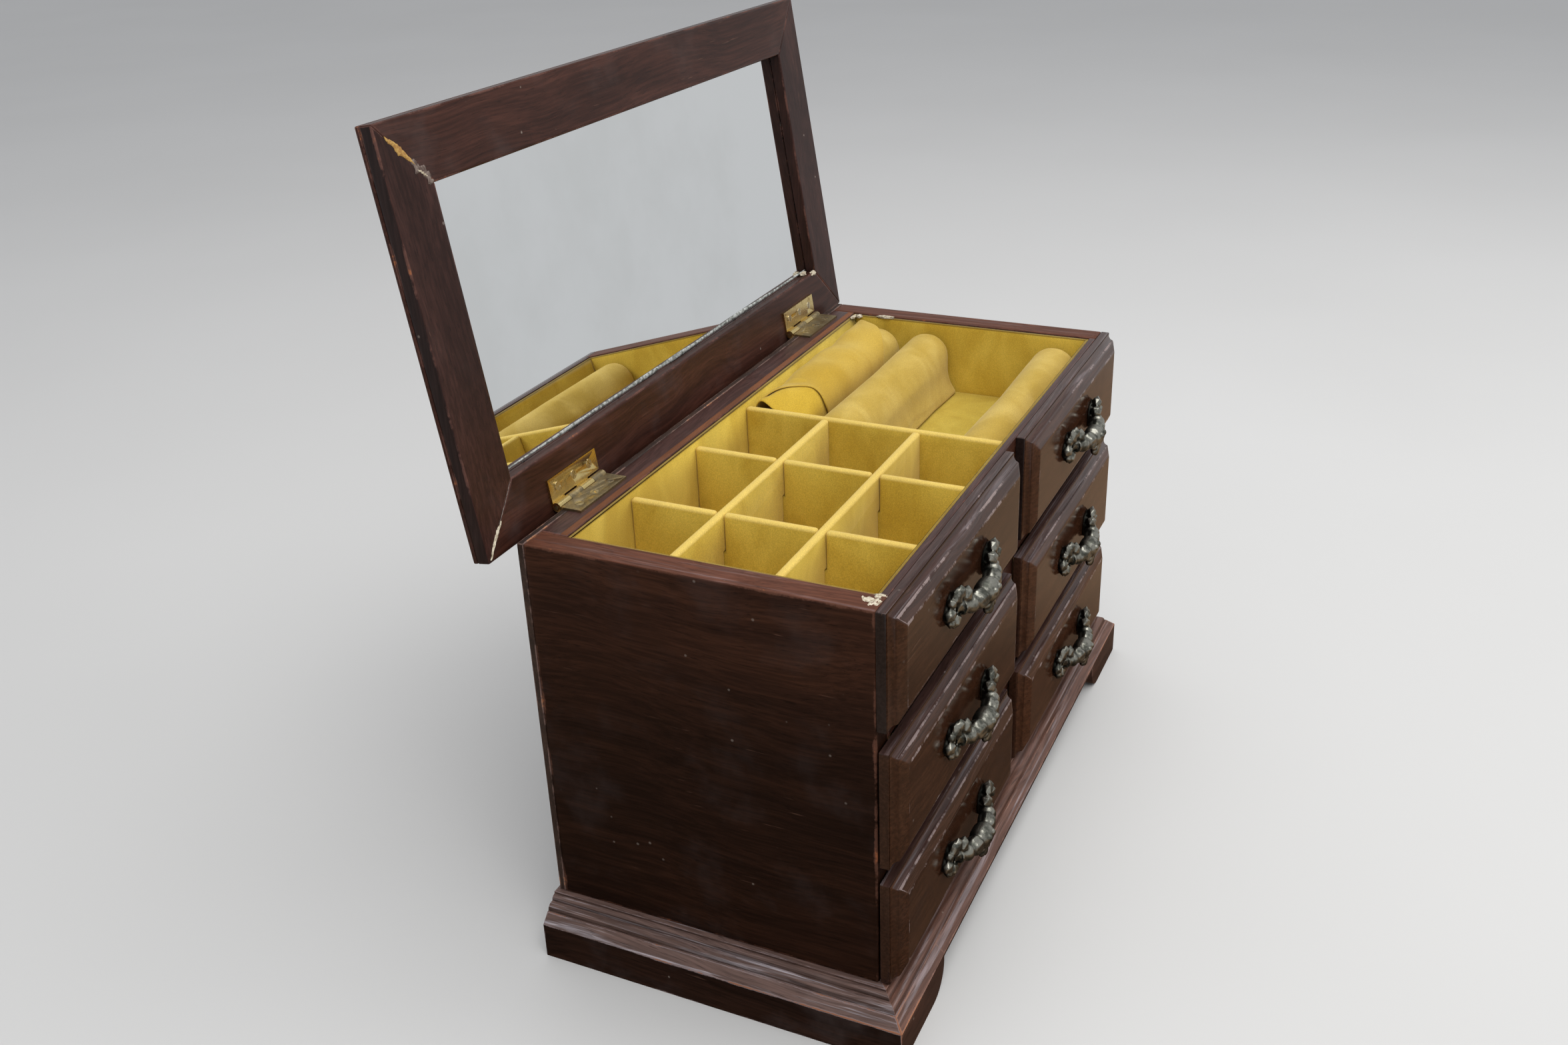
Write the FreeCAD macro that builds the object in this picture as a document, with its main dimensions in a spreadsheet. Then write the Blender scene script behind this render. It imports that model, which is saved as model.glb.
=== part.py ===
import FreeCAD, Part
import math
import os

import Sketcher

# Miniature chest of drawers: a stained wooden case on a moulded plinth, four drawers,
# two fixed fronts above them, a velvet lined tray, and a hinged lid with a mirror.
# Millimetres. X runs along the width, the front faces -Y and Z is up.
# The lid stands open, leaning back past upright, and the drawers are shut.
# The origin is on the floor, under the middle of the whole object standing so.

DIMENSIONS = {
    # case
    "case_width": 285.0,
    "case_depth": 133.4,
    "rim_height": 175.5,
    "side_thickness": 11.0,
    "back_thickness": 2.6,
    "bottom_thickness": 4.0,
    "partition_thickness": 6.0,
    "stile_width": 18.0,
    "stile_thickness": 3.5,
    # plinth
    "base_height": 24.1,
    "base_side_overhang": 11.7,
    "base_front_overhang": 13.4,
    "base_rear_overhang": 1.4,
    "plinth_thickness": 16.0,
    "plinth_face_height": 15.2,
    "ovolo_radius": 3.6,
    "moulding_fillet": 0.8,
    "bead_radius": 2.4,
    "crown_radius": 2.0,
    "foot_length": 33.0,
    "foot_radius": 11.5,
    "arch_height": 13.8,
    # moulded fronts
    "front_floor_gap": 0.5,
    "bottom_front_height": 43.9,
    "lower_row_gap": 7.0,
    "middle_front_height": 47.3,
    "upper_row_gap": 7.8,
    "column_gap": 14.0,
    "front_overlap": 0.9,
    "front_edge": 3.7,
    "cove_radius": 2.6,
    "slope_width": 4.2,
    "slope_rise": 2.0,
    # drawer boxes
    "drawer_closed_gap": 0.7,
    "drawer_side_clearance": 0.5,
    "drawer_floor_clearance": 0.3,
    "drawer_top_clearance": 2.5,
    "drawer_rear_clearance": 0.3,
    "drawer_side_thickness": 4.5,
    "drawer_bottom_thickness": 3.0,
    # pulls
    "pull_post_spacing": 41.0,
    "pull_post_radius": 1.2,
    "pull_post_length": 5.0,
    "post_clearance": 0.05,
    "leaf_length": 17.0,
    "leaf_height": 11.0,
    "leaf_thickness": 2.4,
    "bail_half_span": 17.0,
    "bail_reach": 6.5,
    "bail_standoff": 2.1,
    "bail_radius": 2.0,
    "bail_droop": 18.0,
    "shell_width": 15.0,
    "shell_height": 9.6,
    "shell_thickness": 5.0,
    "shell_drop": 1.5,
    # tray
    "tray_depth": 34.0,
    "tray_board_thickness": 4.0,
    "front_wall_thickness": 2.7,
    "back_rail_thickness": 11.0,
    "lining_thickness": 1.4,
    "lining_drop": 0.6,
    "divider_thickness": 3.4,
    "divider_drop": 3.4,
    "slot_clearance": 0.1,
    "cross_left_place": 53.6,
    "cross_middle_place": 104.9,
    "cross_right_place": 151.0,
    "long_front_place": 41.3,
    "long_back_place": 81.5,
    # padded rolls
    "roll_width": 23.0,
    "roll_height": 29.5,
    "roll_crown": 10.0,
    "roll_end_length": 7.0,
    "roll_end_fall": 2.0,
    "roll_clearance": 0.3,
    "ring_slot_width": 0.5,
    "back_roll_gap": 0.3,
    "front_roll_gap": 2.3,
    "cover_thickness": 1.2,
    "cover_slack": 2.5,
    "cover_hem_height": 7.0,
    # lid
    "lid_length": 149.0,
    "lid_open_angle": 98.6,
    "lid_rear_overhang": 3.5,
    "frame_width": 22.8,
    "frame_thickness": 5.0,
    "top_edge_thickness": 1.6,
    "top_slope_width": 15.0,
    "top_slope_rise": 4.6,
    "mirror_thickness": 2.2,
    "mirror_lap": 4.0,
    "mirror_clearance": 0.2,
    # hinges
    "hinge_length": 32.3,
    "hinge_left_inset": 29.0,
    "hinge_right_inset": 20.6,
    "leaf_reach": 10.5,
    "leaf_plate": 0.9,
    "knuckle_radius": 1.8,
    "knuckle_gap": 0.1,
    "leaf_relief": 0.3,
    "lid_knuckle_clearance": 0.2,
    "pin_behind_back": 2.2,
    "pin_above_rim": 0.3,
    "pin_radius": 0.8,
    "pin_clearance": 0.05,
    "screw_row": 6.4,
    "screw_end_inset": 5.4,
    "screw_head_radius": 1.7,
    "screw_shank_radius": 0.9,
    "screw_depth": 4.0,
}

KNUCKLES = 4
CASE_KNUCKLES = (1, 3)
LID_KNUCKLES = (0, 2)
SIN_45 = math.sqrt(0.5)

doc = FreeCAD.newDocument("chest_of_drawers")
sheet = doc.addObject("Spreadsheet::Sheet", "Sizes")
for row, (alias, number) in enumerate(DIMENSIONS.items(), start=1):
    sheet.set("A%d" % row, alias)
    sheet.set("B%d" % row, str(number))
    sheet.setAlias("B%d" % row, alias)
doc.recompute()


class Size:
    """A length worked out from the sheet: its expression and the number it gives."""

    def __init__(self, text, number):
        self.text = text
        self.number = number

    def __add__(self, other):
        other = as_size(other)
        return Size("(%s + %s)" % (self.text, other.text), self.number + other.number)

    def __sub__(self, other):
        other = as_size(other)
        return Size("(%s - %s)" % (self.text, other.text), self.number - other.number)

    def __mul__(self, other):
        other = as_size(other)
        return Size("(%s * %s)" % (self.text, other.text), self.number * other.number)

    def __truediv__(self, other):
        other = as_size(other)
        return Size("(%s / %s)" % (self.text, other.text), self.number / other.number)

    def __rmul__(self, factor):
        return as_size(factor) * self

    def __neg__(self):
        return Size("(-%s)" % self.text, -self.number)


def as_size(value):
    if isinstance(value, Size):
        return value
    return Size(repr(float(value)), float(value))


def arc_sine(ratio):
    return Size("asin(%s)" % ratio.text, math.degrees(math.asin(ratio.number)))


def sine(angle):
    return Size("sin(%s)" % angle.text, math.sin(math.radians(angle.number)))


def cosine(angle):
    return Size("cos(%s)" % angle.text, math.cos(math.radians(angle.number)))


class Named:
    """The sheet's sizes, one attribute for each alias."""


s = Named()
for alias, number in DIMENSIONS.items():
    setattr(s, alias, Size("Sizes." + alias, number))

ZERO = as_size(0.0)

# Planes and heights that several pieces share
half_width = s.case_width / 2
inside = half_width - s.side_thickness
base_width = s.case_width + 2 * s.base_side_overhang
base_depth = s.base_front_overhang + s.case_depth + s.base_rear_overhang
rim = s.rim_height

# How far the pulls stand out in front and the open lid leans out behind
front_thickness = s.front_edge + s.cove_radius + s.slope_rise
pull_projection = s.bail_standoff + s.bail_reach * cosine(s.bail_droop) + s.shell_thickness / 2
front_projection = s.drawer_closed_gap + front_thickness + pull_projection
lid_face = s.knuckle_radius + s.lid_knuckle_clearance
lid_rear = s.lid_rear_overhang
lid_front = lid_rear - s.lid_length
lid_half = base_width / 2
lid_top_face = lid_face + s.frame_thickness
lid_crown = lid_top_face + s.top_edge_thickness + s.top_slope_rise
lid_lean = (lid_front + s.top_slope_width) * cosine(s.lid_open_angle) + lid_crown * sine(s.lid_open_angle)
rear_projection = s.pin_behind_back + lid_lean

front = (front_projection - s.case_depth - rear_projection) / 2
back = front + s.case_depth
back_inner = back - s.back_thickness
base_front = front - s.base_front_overhang
base_back = back + s.base_rear_overhang

bottom_low = s.base_height + s.front_floor_gap
bottom_row = (bottom_low, bottom_low + s.bottom_front_height)
middle_low = bottom_row[1] + s.lower_row_gap
middle_row = (middle_low, middle_low + s.middle_front_height)
top_row = (middle_row[1] + s.upper_row_gap, rim)
left_column = (-half_width, -(s.column_gap / 2))
right_column = (s.column_gap / 2, half_width)

case_floor = s.base_height + s.bottom_thickness
shelf = (bottom_row[1] - s.front_overlap, middle_row[0] + s.front_overlap)
wall_bottom = middle_row[1] - s.front_overlap
tray_floor = rim - s.tray_depth
tray_board_top = tray_floor - s.lining_thickness
tray_board_bottom = tray_board_top - s.tray_board_thickness
wall_back = front + s.front_wall_thickness
rail_front = back_inner - s.back_rail_thickness
tray_x = (-(inside - s.lining_thickness), inside - s.lining_thickness)
tray_y = (wall_back + s.lining_thickness, rail_front - s.lining_thickness)

pin_y = back + s.pin_behind_back
pin_z = rim + s.pin_above_rim
hinge_starts = (s.hinge_left_inset - half_width, half_width - s.hinge_right_inset - s.hinge_length)

cross_right = (
    s.cross_right_place - half_width - s.divider_thickness / 2,
    s.cross_right_place - half_width + s.divider_thickness / 2,
)

AXIS_X = FreeCAD.Rotation(FreeCAD.Vector(0, 1, 0), 90)
AXIS_FORWARD = FreeCAD.Rotation(FreeCAD.Vector(1, 0, 0), 90)
AXIS_DOWN = FreeCAD.Rotation(FreeCAD.Vector(1, 0, 0), 180)
QUARTER_TURN = FreeCAD.Rotation(FreeCAD.Vector(0, 0, 1), 90)
UPRIGHT = FreeCAD.Rotation()

sub_parts = []
cuts = []


def keep(piece):
    sub_parts.append(piece)
    return piece


def bind(piece, **values):
    for name, value in values.items():
        piece.setExpression(name, as_size(value).text)


def put(piece, x, y, z, turn=UPRIGHT):
    piece.Placement = FreeCAD.Placement(FreeCAD.Vector(0, 0, 0), turn)
    for axis, value in zip("xyz", (x, y, z)):
        piece.setExpression("Placement.Base." + axis, as_size(value).text)


def board(name, x, y, z):
    box = doc.addObject("Part::Box", name)
    bind(box, Length=x[1] - x[0], Width=y[1] - y[0], Height=z[1] - z[0])
    put(box, x[0], y[0], z[0])
    return box


def cylinder(name, radius, length, x, y, z, turn=UPRIGHT):
    rod = doc.addObject("Part::Cylinder", name)
    bind(rod, Radius=radius, Height=length)
    put(rod, x, y, z, turn)
    return rod


def group(name, pieces):
    several = doc.addObject("Part::Compound", name)
    several.Links = pieces
    return keep(several)


def cut_from(name, blank, tools):
    result = doc.addObject("Part::Cut", name)
    result.Base = blank
    if len(tools) == 1:
        result.Tool = tools[0]
    else:
        joined = doc.addObject("Part::Compound", name + "_cutters")
        joined.Links = tools
        result.Tool = joined
    return keep(result)


def new_body(name, x, y, z):
    body = doc.addObject("PartDesign::Body", name)
    body.AllowCompound = True
    put(body, x, y, z)
    return keep(body)


def lid_body(name):
    """A body drawn with the lid shut, measured from the hinge pin and turned open about it."""
    body = new_body(name, ZERO, pin_y, pin_z)
    body.Placement = FreeCAD.Placement(
        FreeCAD.Vector(0, 0, 0), FreeCAD.Rotation(FreeCAD.Vector(-1, 0, 0), DIMENSIONS["lid_open_angle"])
    )
    bind(body, **{"Placement.Rotation.Angle": s.lid_open_angle})
    return body


def feature(body, kind, x=ZERO, y=ZERO, z=ZERO, turn=UPRIGHT, **values):
    step = body.newObject("PartDesign::" + kind, kind)
    put(step, x, y, z, turn)
    bind(step, **values)
    if kind.startswith("Subtractive"):
        cuts.append(step)
    return step


def block(body, x, y, z, kind="AdditiveBox"):
    sizes = {"Length": x[1] - x[0], "Width": y[1] - y[0], "Height": z[1] - z[0]}
    return feature(body, kind, x[0], y[0], z[0], **sizes)


def taper(body, y, near_x, near_z, far_x, far_z, turn=UPRIGHT):
    """A tapering block along Y, from the near rectangle at y[0] to the far one at y[1]."""
    sizes = {"Ymin": y[0], "Ymax": y[1]}
    for tag, (low, high) in (("X", near_x), ("Z", near_z), ("X2", far_x), ("Z2", far_z)):
        sizes[tag + "min"] = low
        sizes[tag + "max"] = high
    return feature(body, "AdditiveWedge", turn=turn, **sizes)


def point(vertex):
    return FreeCAD.Vector(as_size(vertex[0]).number, as_size(vertex[1]).number, 0)


def outline(body, name, plane, vertices, offset=None):
    """A closed sketch. A vertex is (x, y), or (x, y, via, radius) where an arc leads to it."""
    sketch = body.newObject("Sketcher::SketchObject", name)
    base = [part for part in body.Origin.OriginFeatures if part.Role == plane][0]
    sketch.AttachmentSupport = [(base, "")]
    sketch.MapMode = "FlatFace"
    if offset is not None:
        sketch.setExpression("AttachmentOffset.Base.z", as_size(offset).text)
    count = len(vertices)
    ends = []
    for index in range(count):
        after = vertices[(index + 1) % count]
        start = point(vertices[index])
        stop = point(after)
        if len(after) == 2:
            sketch.addGeometry(Part.LineSegment(start, stop))
            ends.append((1, 2))
        else:
            sketch.addGeometry(Part.Arc(start, point(after[2]), stop))
            forward = sketch.getPoint(index, 1).isEqual(start, 1e-6)
            ends.append((1, 2) if forward else (2, 1))
    for index in range(count):
        following = (index + 1) % count
        join = Sketcher.Constraint("Coincident", index, ends[index][1], following, ends[following][0])
        sketch.addConstraint(join)
    for index, vertex in enumerate(vertices):
        for kind, tag, value in (("DistanceX", "x", vertex[0]), ("DistanceY", "y", vertex[1])):
            value = as_size(value)
            rule = Sketcher.Constraint(kind, -1, 1, index, ends[index][0], value.number)
            sketch.renameConstraint(sketch.addConstraint(rule), "%s%d" % (tag, index))
            sketch.setExpression("Constraints.%s%d" % (tag, index), value.text)
        if len(vertex) > 2:
            curve = (index - 1) % count
            rule = Sketcher.Constraint("Radius", curve, vertex[3].number)
            sketch.renameConstraint(sketch.addConstraint(rule), "r%d" % index)
            sketch.setExpression("Constraints.r%d" % index, vertex[3].text)
    return sketch


def pad(body, sketch, length):
    step = body.newObject("PartDesign::Pad", "Pad")
    step.Profile = sketch
    bind(step, Length=length)
    return step


def pocket(body, sketch, reverse=False):
    doc.recompute()
    step = body.newObject("PartDesign::Pocket", "Pocket")
    step.Profile = sketch
    step.Type = "ThroughAll"
    step.Reversed = reverse
    cuts.append(step)
    return step


# The carcass

def carcass():
    sides = (("left_side_panel", (-half_width, -inside)), ("right_side_panel", (inside, half_width)))
    for name, x in sides:
        keep(board(name, x, (front, back_inner), (s.base_height, rim)))
    across = (-inside, inside)
    through = (front, back_inner)
    keep(board("back_panel", (-half_width, half_width), (back_inner, back), (s.base_height, rim)))
    keep(board("case_bottom_board", across, through, (s.base_height, case_floor)))
    keep(board("middle_shelf", across, through, shelf))
    keep(board("tray_front_wall", across, (front, wall_back), (wall_bottom, rim)))
    keep(board("tray_bottom_board", across, (wall_back, back_inner), (tray_board_bottom, tray_board_top)))

    partition_x = (-(s.partition_thickness / 2), s.partition_thickness / 2)
    partition_y = (front + s.stile_thickness, back_inner)
    stile_x = (-(s.stile_width / 2), s.stile_width / 2)
    stile_y = (front, front + s.stile_thickness)
    storeys = (("lower", case_floor, shelf[0], shelf[0]), ("upper", shelf[1], wall_bottom, tray_board_bottom))
    stiles = []
    partitions = []
    for name, low, stile_top, partition_top in storeys:
        stiles.append(board(name + "_stile", stile_x, stile_y, (low, stile_top)))
        partitions.append(board(name + "_partition", partition_x, partition_y, (low, partition_top)))
    group("centre_stiles", stiles)
    group("centre_partitions", partitions)


# The plinth: three rails with one moulding, mitred at the front corners

def moulding(outward):
    """The rail's section. The first coordinate is the distance inwards, times outward."""
    def at(inward, height):
        return (outward * inward, height)

    def round_to(inward, height, radius):
        near_corner = (1 - SIN_45) * radius
        via = at(inward - radius + near_corner, height - radius + SIN_45 * radius)
        return (*at(inward, height), via, radius)

    inward = s.ovolo_radius
    height = s.plinth_face_height + s.ovolo_radius
    section = [at(ZERO, ZERO), at(ZERO, s.plinth_face_height), round_to(inward, height, s.ovolo_radius)]
    for radius in (s.bead_radius, s.crown_radius):
        inward = inward + s.moulding_fillet
        section.append(at(inward, height))
        inward = inward + radius
        height = height + radius
        section.append(round_to(inward, height, radius))
    section += [at(inward, s.base_height), at(s.plinth_thickness, s.base_height), at(s.plinth_thickness, ZERO)]
    return section


def plinth():
    thickness = s.plinth_thickness
    rail = new_body("plinth_front_rail", -(base_width / 2), base_front, ZERO)
    pad(rail, outline(rail, "front_section", "YZ_Plane", moulding(1)), base_width)
    mitres = (
        [(ZERO, ZERO), (thickness, thickness), (ZERO, thickness)],
        [(base_width, ZERO), (base_width, thickness), (base_width - thickness, thickness)],
    )
    for corner in mitres:
        pocket(rail, outline(rail, "mitre", "XY_Plane", corner), reverse=True)
    foot = s.foot_length
    shoulder = s.foot_length + s.foot_radius
    low = (1 - SIN_45) * s.foot_radius
    along = s.foot_length + SIN_45 * s.foot_radius
    arch = [
        (foot, ZERO),
        (shoulder, s.foot_radius, (along, low), s.foot_radius),
        (shoulder, s.arch_height),
        (base_width - shoulder, s.arch_height),
        (base_width - shoulder, s.foot_radius),
        (base_width - foot, ZERO, (base_width - along, low), s.foot_radius),
    ]
    pocket(rail, outline(rail, "arch", "XZ_Plane", arch))

    for name, x, outward in (("left", -(base_width / 2), 1), ("right", base_width / 2, -1)):
        side = new_body("plinth_%s_rail" % name, x, base_back, ZERO)
        pad(side, outline(side, name + "_section", "XZ_Plane", moulding(outward)), base_depth)
        inner = outward * thickness
        corner = [(ZERO, -base_depth), (inner, -base_depth), (inner, thickness - base_depth)]
        pocket(side, outline(side, name + "_mitre", "XY_Plane", corner), reverse=True)


# Moulded fronts and the cast pulls on them

def moulded_front(name, column, row, back_face):
    """A flat edge, a cove and a slope up to the raised field, on all four sides."""
    width = column[1] - column[0]
    height = row[1] - row[0]
    body = new_body(name, column[0], back_face, row[0])
    block(body, (ZERO, width), (-s.front_edge, ZERO), (ZERO, height))
    steps = [
        (ZERO, s.front_edge),
        (SIN_45 * s.cove_radius, s.front_edge + (1 - SIN_45) * s.cove_radius),
        (s.cove_radius, s.front_edge + s.cove_radius),
        (s.cove_radius + s.slope_width, front_thickness),
    ]
    for (outer, low), (inner, high) in zip(steps, steps[1:]):
        near_x = (inner, width - inner)
        near_z = (inner, height - inner)
        far_x = (outer, width - outer)
        far_z = (outer, height - outer)
        taper(body, (-high, -low), near_x, near_z, far_x, far_z)
    for side in (-1, 1):
        x = width / 2 + side * (s.pull_post_spacing / 2)
        radius = s.pull_post_radius + s.post_clearance
        depth = s.pull_post_length + s.post_clearance
        start = depth - front_thickness
        feature(body, "SubtractiveCylinder", x, start, height / 2, AXIS_FORWARD, Radius=radius, Height=depth)


def pull(name, column, row, back_face):
    """Two pointed leaf plates joined by a drooping bail with a shell at its middle."""
    x = (column[0] + column[1]) / 2
    z = (row[0] + row[1]) / 2
    body = new_body(name, x, back_face - front_thickness, z)
    half = s.leaf_length / 2
    rise = s.leaf_height / 2
    edge_radius = (half * half + rise * rise) / s.leaf_height
    for side in (-1, 1):
        middle = side * (s.pull_post_spacing / 2)
        leaf = [
            (middle - half, ZERO, (middle, -rise), edge_radius),
            (middle + half, ZERO, (middle, rise), edge_radius),
        ]
        pad(body, outline(body, "leaf", "XZ_Plane", leaf), s.leaf_thickness)
        post = {"Radius": s.pull_post_radius, "Height": s.pull_post_length + s.leaf_thickness / 2}
        feature(body, "AdditiveCylinder", middle, s.pull_post_length, ZERO, AXIS_FORWARD, **post)

    ring = (s.bail_half_span * s.bail_half_span + s.bail_reach * s.bail_reach) / (2 * s.bail_reach)
    half_sweep = arc_sine(s.bail_half_span / ring)
    forward = cosine(s.bail_droop)
    downward = sine(s.bail_droop)
    bail = body.newObject("PartDesign::AdditiveTorus", "Bail")
    bind(bail, Radius1=ring, Radius2=s.bail_radius, Angle3=2 * half_sweep)
    centre = (ring - s.bail_reach) * forward - s.bail_standoff
    height = (ring - s.bail_reach) * downward
    swing = "rotation(vector(1; 0; 0); %s) * rotation(vector(0; 0; 1); -90 - %s / 1 deg)"
    swing = swing % (s.bail_droop.text, half_sweep.text)
    bail.setExpression("Placement", "placement(vector(0; %s; %s); %s)" % (centre.text, height.text, swing))
    shell_z = -(s.bail_reach * downward + s.shell_drop)
    shell_half = s.shell_width / 2
    shell_rise = s.shell_height / 2
    shell_radius = (shell_half * shell_half + shell_rise * shell_rise) / s.shell_height
    shell = [
        (-shell_half, shell_z, (ZERO, shell_z - shell_rise), shell_radius),
        (shell_half, shell_z, (ZERO, shell_z + shell_rise), shell_radius),
    ]
    shell_back = s.bail_standoff + s.bail_reach * forward - s.shell_thickness / 2
    pad(body, outline(body, "shell", "XZ_Plane", shell, shell_back), s.shell_thickness)


def false_fronts():
    for side, column in (("left", left_column), ("right", right_column)):
        moulded_front("false_front_" + side, column, top_row, front)
        pull("false_front_pull_" + side, column, top_row, front)


# Drawers

def drawer(name, column, row, opening_x, opening_z):
    """A moulded front with a pull, and a box with a loose bottom and a lining pad behind it."""
    back_face = front - s.drawer_closed_gap
    moulded_front(name + "_front", column, row, back_face)
    pull(name + "_pull", column, row, back_face)
    outer = (opening_x[0] + s.drawer_side_clearance, opening_x[1] - s.drawer_side_clearance)
    inner = (outer[0] + s.drawer_side_thickness, outer[1] - s.drawer_side_thickness)
    low = opening_z[0] + s.drawer_floor_clearance
    high = opening_z[1] - s.drawer_top_clearance
    floor_top = low + s.drawer_bottom_thickness
    rear = back_inner - s.drawer_rear_clearance
    rear_inner = rear - s.drawer_side_thickness
    walls = [
        board(name + "_left_wall", (outer[0], inner[0]), (back_face, rear), (low, high)),
        board(name + "_right_wall", (inner[1], outer[1]), (back_face, rear), (low, high)),
        board(name + "_rear_wall", inner, (rear_inner, rear), (floor_top, high)),
    ]
    group(name + "_box", walls)
    keep(board(name + "_bottom", inner, (back_face, rear), (low, floor_top)))
    keep(board(name + "_lining", inner, (back_face, rear_inner), (floor_top, floor_top + s.lining_thickness)))


def drawers():
    half_stile = s.stile_width / 2
    columns = (("left", left_column, (-inside, -half_stile)), ("right", right_column, (half_stile, inside)))
    rows = (("bottom", bottom_row, (case_floor, shelf[0])), ("middle", middle_row, (shelf[1], wall_bottom)))
    for row_name, row, opening_z in rows:
        for side, column, opening_x in columns:
            drawer("%s_%s_drawer" % (row_name, side), column, row, opening_x, opening_z)


# The lined tray

def tray():
    across = (-inside, inside)
    lining_z = (tray_board_top, rim - s.lining_drop)
    linings = [
        board("front_lining", across, (wall_back, tray_y[0]), lining_z),
        board("back_lining", across, (tray_y[1], rail_front), lining_z),
        board("left_lining", (-inside, tray_x[0]), tray_y, lining_z),
        board("right_lining", (tray_x[1], inside), tray_y, lining_z),
    ]
    group("tray_wall_linings", linings)
    keep(board("tray_floor_lining", tray_x, tray_y, (tray_board_top, tray_floor)))

    rail = board("back_top_rail_blank", across, (rail_front, back_inner), (tray_board_top, rim))
    holes = []
    for x in screw_places():
        depth = s.screw_depth + s.pin_clearance
        radius = s.screw_shank_radius + s.pin_clearance
        holes.append(cylinder("rail_screw_hole", radius, depth, x, pin_y - s.screw_row, rim - depth))
    cut_from("back_top_rail", rail, holes)


def divider_faces(centre):
    return (centre - s.divider_thickness / 2, centre + s.divider_thickness / 2)


def slot_faces(centre):
    half = s.divider_thickness / 2 + s.slot_clearance
    return (centre - half, centre + half)


def dividers():
    """Strips that cross in half laps: the long ones slotted from below, the others from above."""
    top = rim - s.divider_drop
    middle = (tray_floor + top) / 2
    lower_slot = (tray_floor, middle + s.slot_clearance)
    upper_slot = (middle - s.slot_clearance, top)
    cross_left = s.cross_left_place - half_width
    cross_middle = s.cross_middle_place - half_width
    long_front = front + s.long_front_place
    long_back = front + s.long_back_place
    for name, y in (("long_divider_front", long_front), ("long_divider_back", long_back)):
        strip = board(name + "_blank", (tray_x[0], cross_right[0]), divider_faces(y), (tray_floor, top))
        slots = []
        for x in (cross_left, cross_middle):
            slots.append(board(name + "_slot", slot_faces(x), divider_faces(y), lower_slot))
        cut_from(name, strip, slots)
    for name, x in (("cross_divider_left", cross_left), ("cross_divider_middle", cross_middle)):
        strip = board(name + "_blank", divider_faces(x), tray_y, (tray_floor, top))
        slots = []
        for y in (long_front, long_back):
            slots.append(board(name + "_slot", divider_faces(x), slot_faces(y), upper_slot))
        cut_from(name, strip, slots)
    keep(board("cross_divider_right", cross_right, tray_y, (tray_floor, top)))


def roll_section(body, name, half, height, offset):
    crown = s.roll_crown
    radius = (half * half + crown * crown) / (2 * crown)
    section = [
        (-half, ZERO),
        (-half, height - crown),
        (half, height - crown, (ZERO, height), radius),
        (half, ZERO),
    ]
    return outline(body, name, "YZ_Plane", section, offset)


def ring_rolls():
    """Three padded rolls side by side, and a loose piece of cover over the back one."""
    start = cross_right[1] + s.roll_clearance
    length = tray_x[1] - s.roll_clearance - start
    half = s.roll_width / 2
    front_roll = tray_y[0] + s.front_roll_gap + half
    covered_half = half + s.roll_clearance + s.cover_thickness
    back_roll = tray_y[1] - s.back_roll_gap - covered_half
    middle_roll = back_roll - covered_half - s.ring_slot_width - half
    for name, y in (("front", front_roll), ("middle", middle_roll), ("back", back_roll)):
        body = new_body("ring_roll_" + name, start, y, tray_floor)
        stations = (
            (s.roll_end_fall, ZERO),
            (ZERO, s.roll_end_length),
            (ZERO, length - s.roll_end_length),
            (s.roll_end_fall, length),
        )
        sections = []
        for index, (fall, offset) in enumerate(stations):
            label = "roll_section_%d" % index
            sections.append(roll_section(body, label, half - fall / 2, s.roll_height - fall, offset))
        loft = body.newObject("PartDesign::AdditiveLoft", "Loft")
        loft.Profile = sections[0]
        loft.Sections = sections[1:]
        loft.Ruled = True

    cover = new_body("loose_roll_cover", start, back_roll, tray_floor)
    inner = half + s.roll_clearance
    outer = inner + s.cover_thickness
    inner_top = s.roll_height + s.roll_clearance + s.cover_slack
    outer_top = inner_top + s.cover_thickness
    spring = s.roll_height - s.roll_crown
    inner_rise = inner_top - spring
    outer_rise = outer_top - spring
    inner_radius = (inner * inner + inner_rise * inner_rise) / (2 * inner_rise)
    outer_radius = (outer * outer + outer_rise * outer_rise) / (2 * outer_rise)
    strip = [
        (-outer, s.cover_hem_height),
        (-outer, spring),
        (outer, spring, (ZERO, outer_top), outer_radius),
        (outer, s.cover_hem_height),
        (inner, s.cover_hem_height),
        (inner, spring),
        (-inner, spring, (ZERO, inner_top), inner_radius),
        (-inner, s.cover_hem_height),
    ]
    pad(cover, outline(cover, "cover_section", "YZ_Plane", strip), length)


# The lid, drawn shut and measured from the hinge pin

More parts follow.
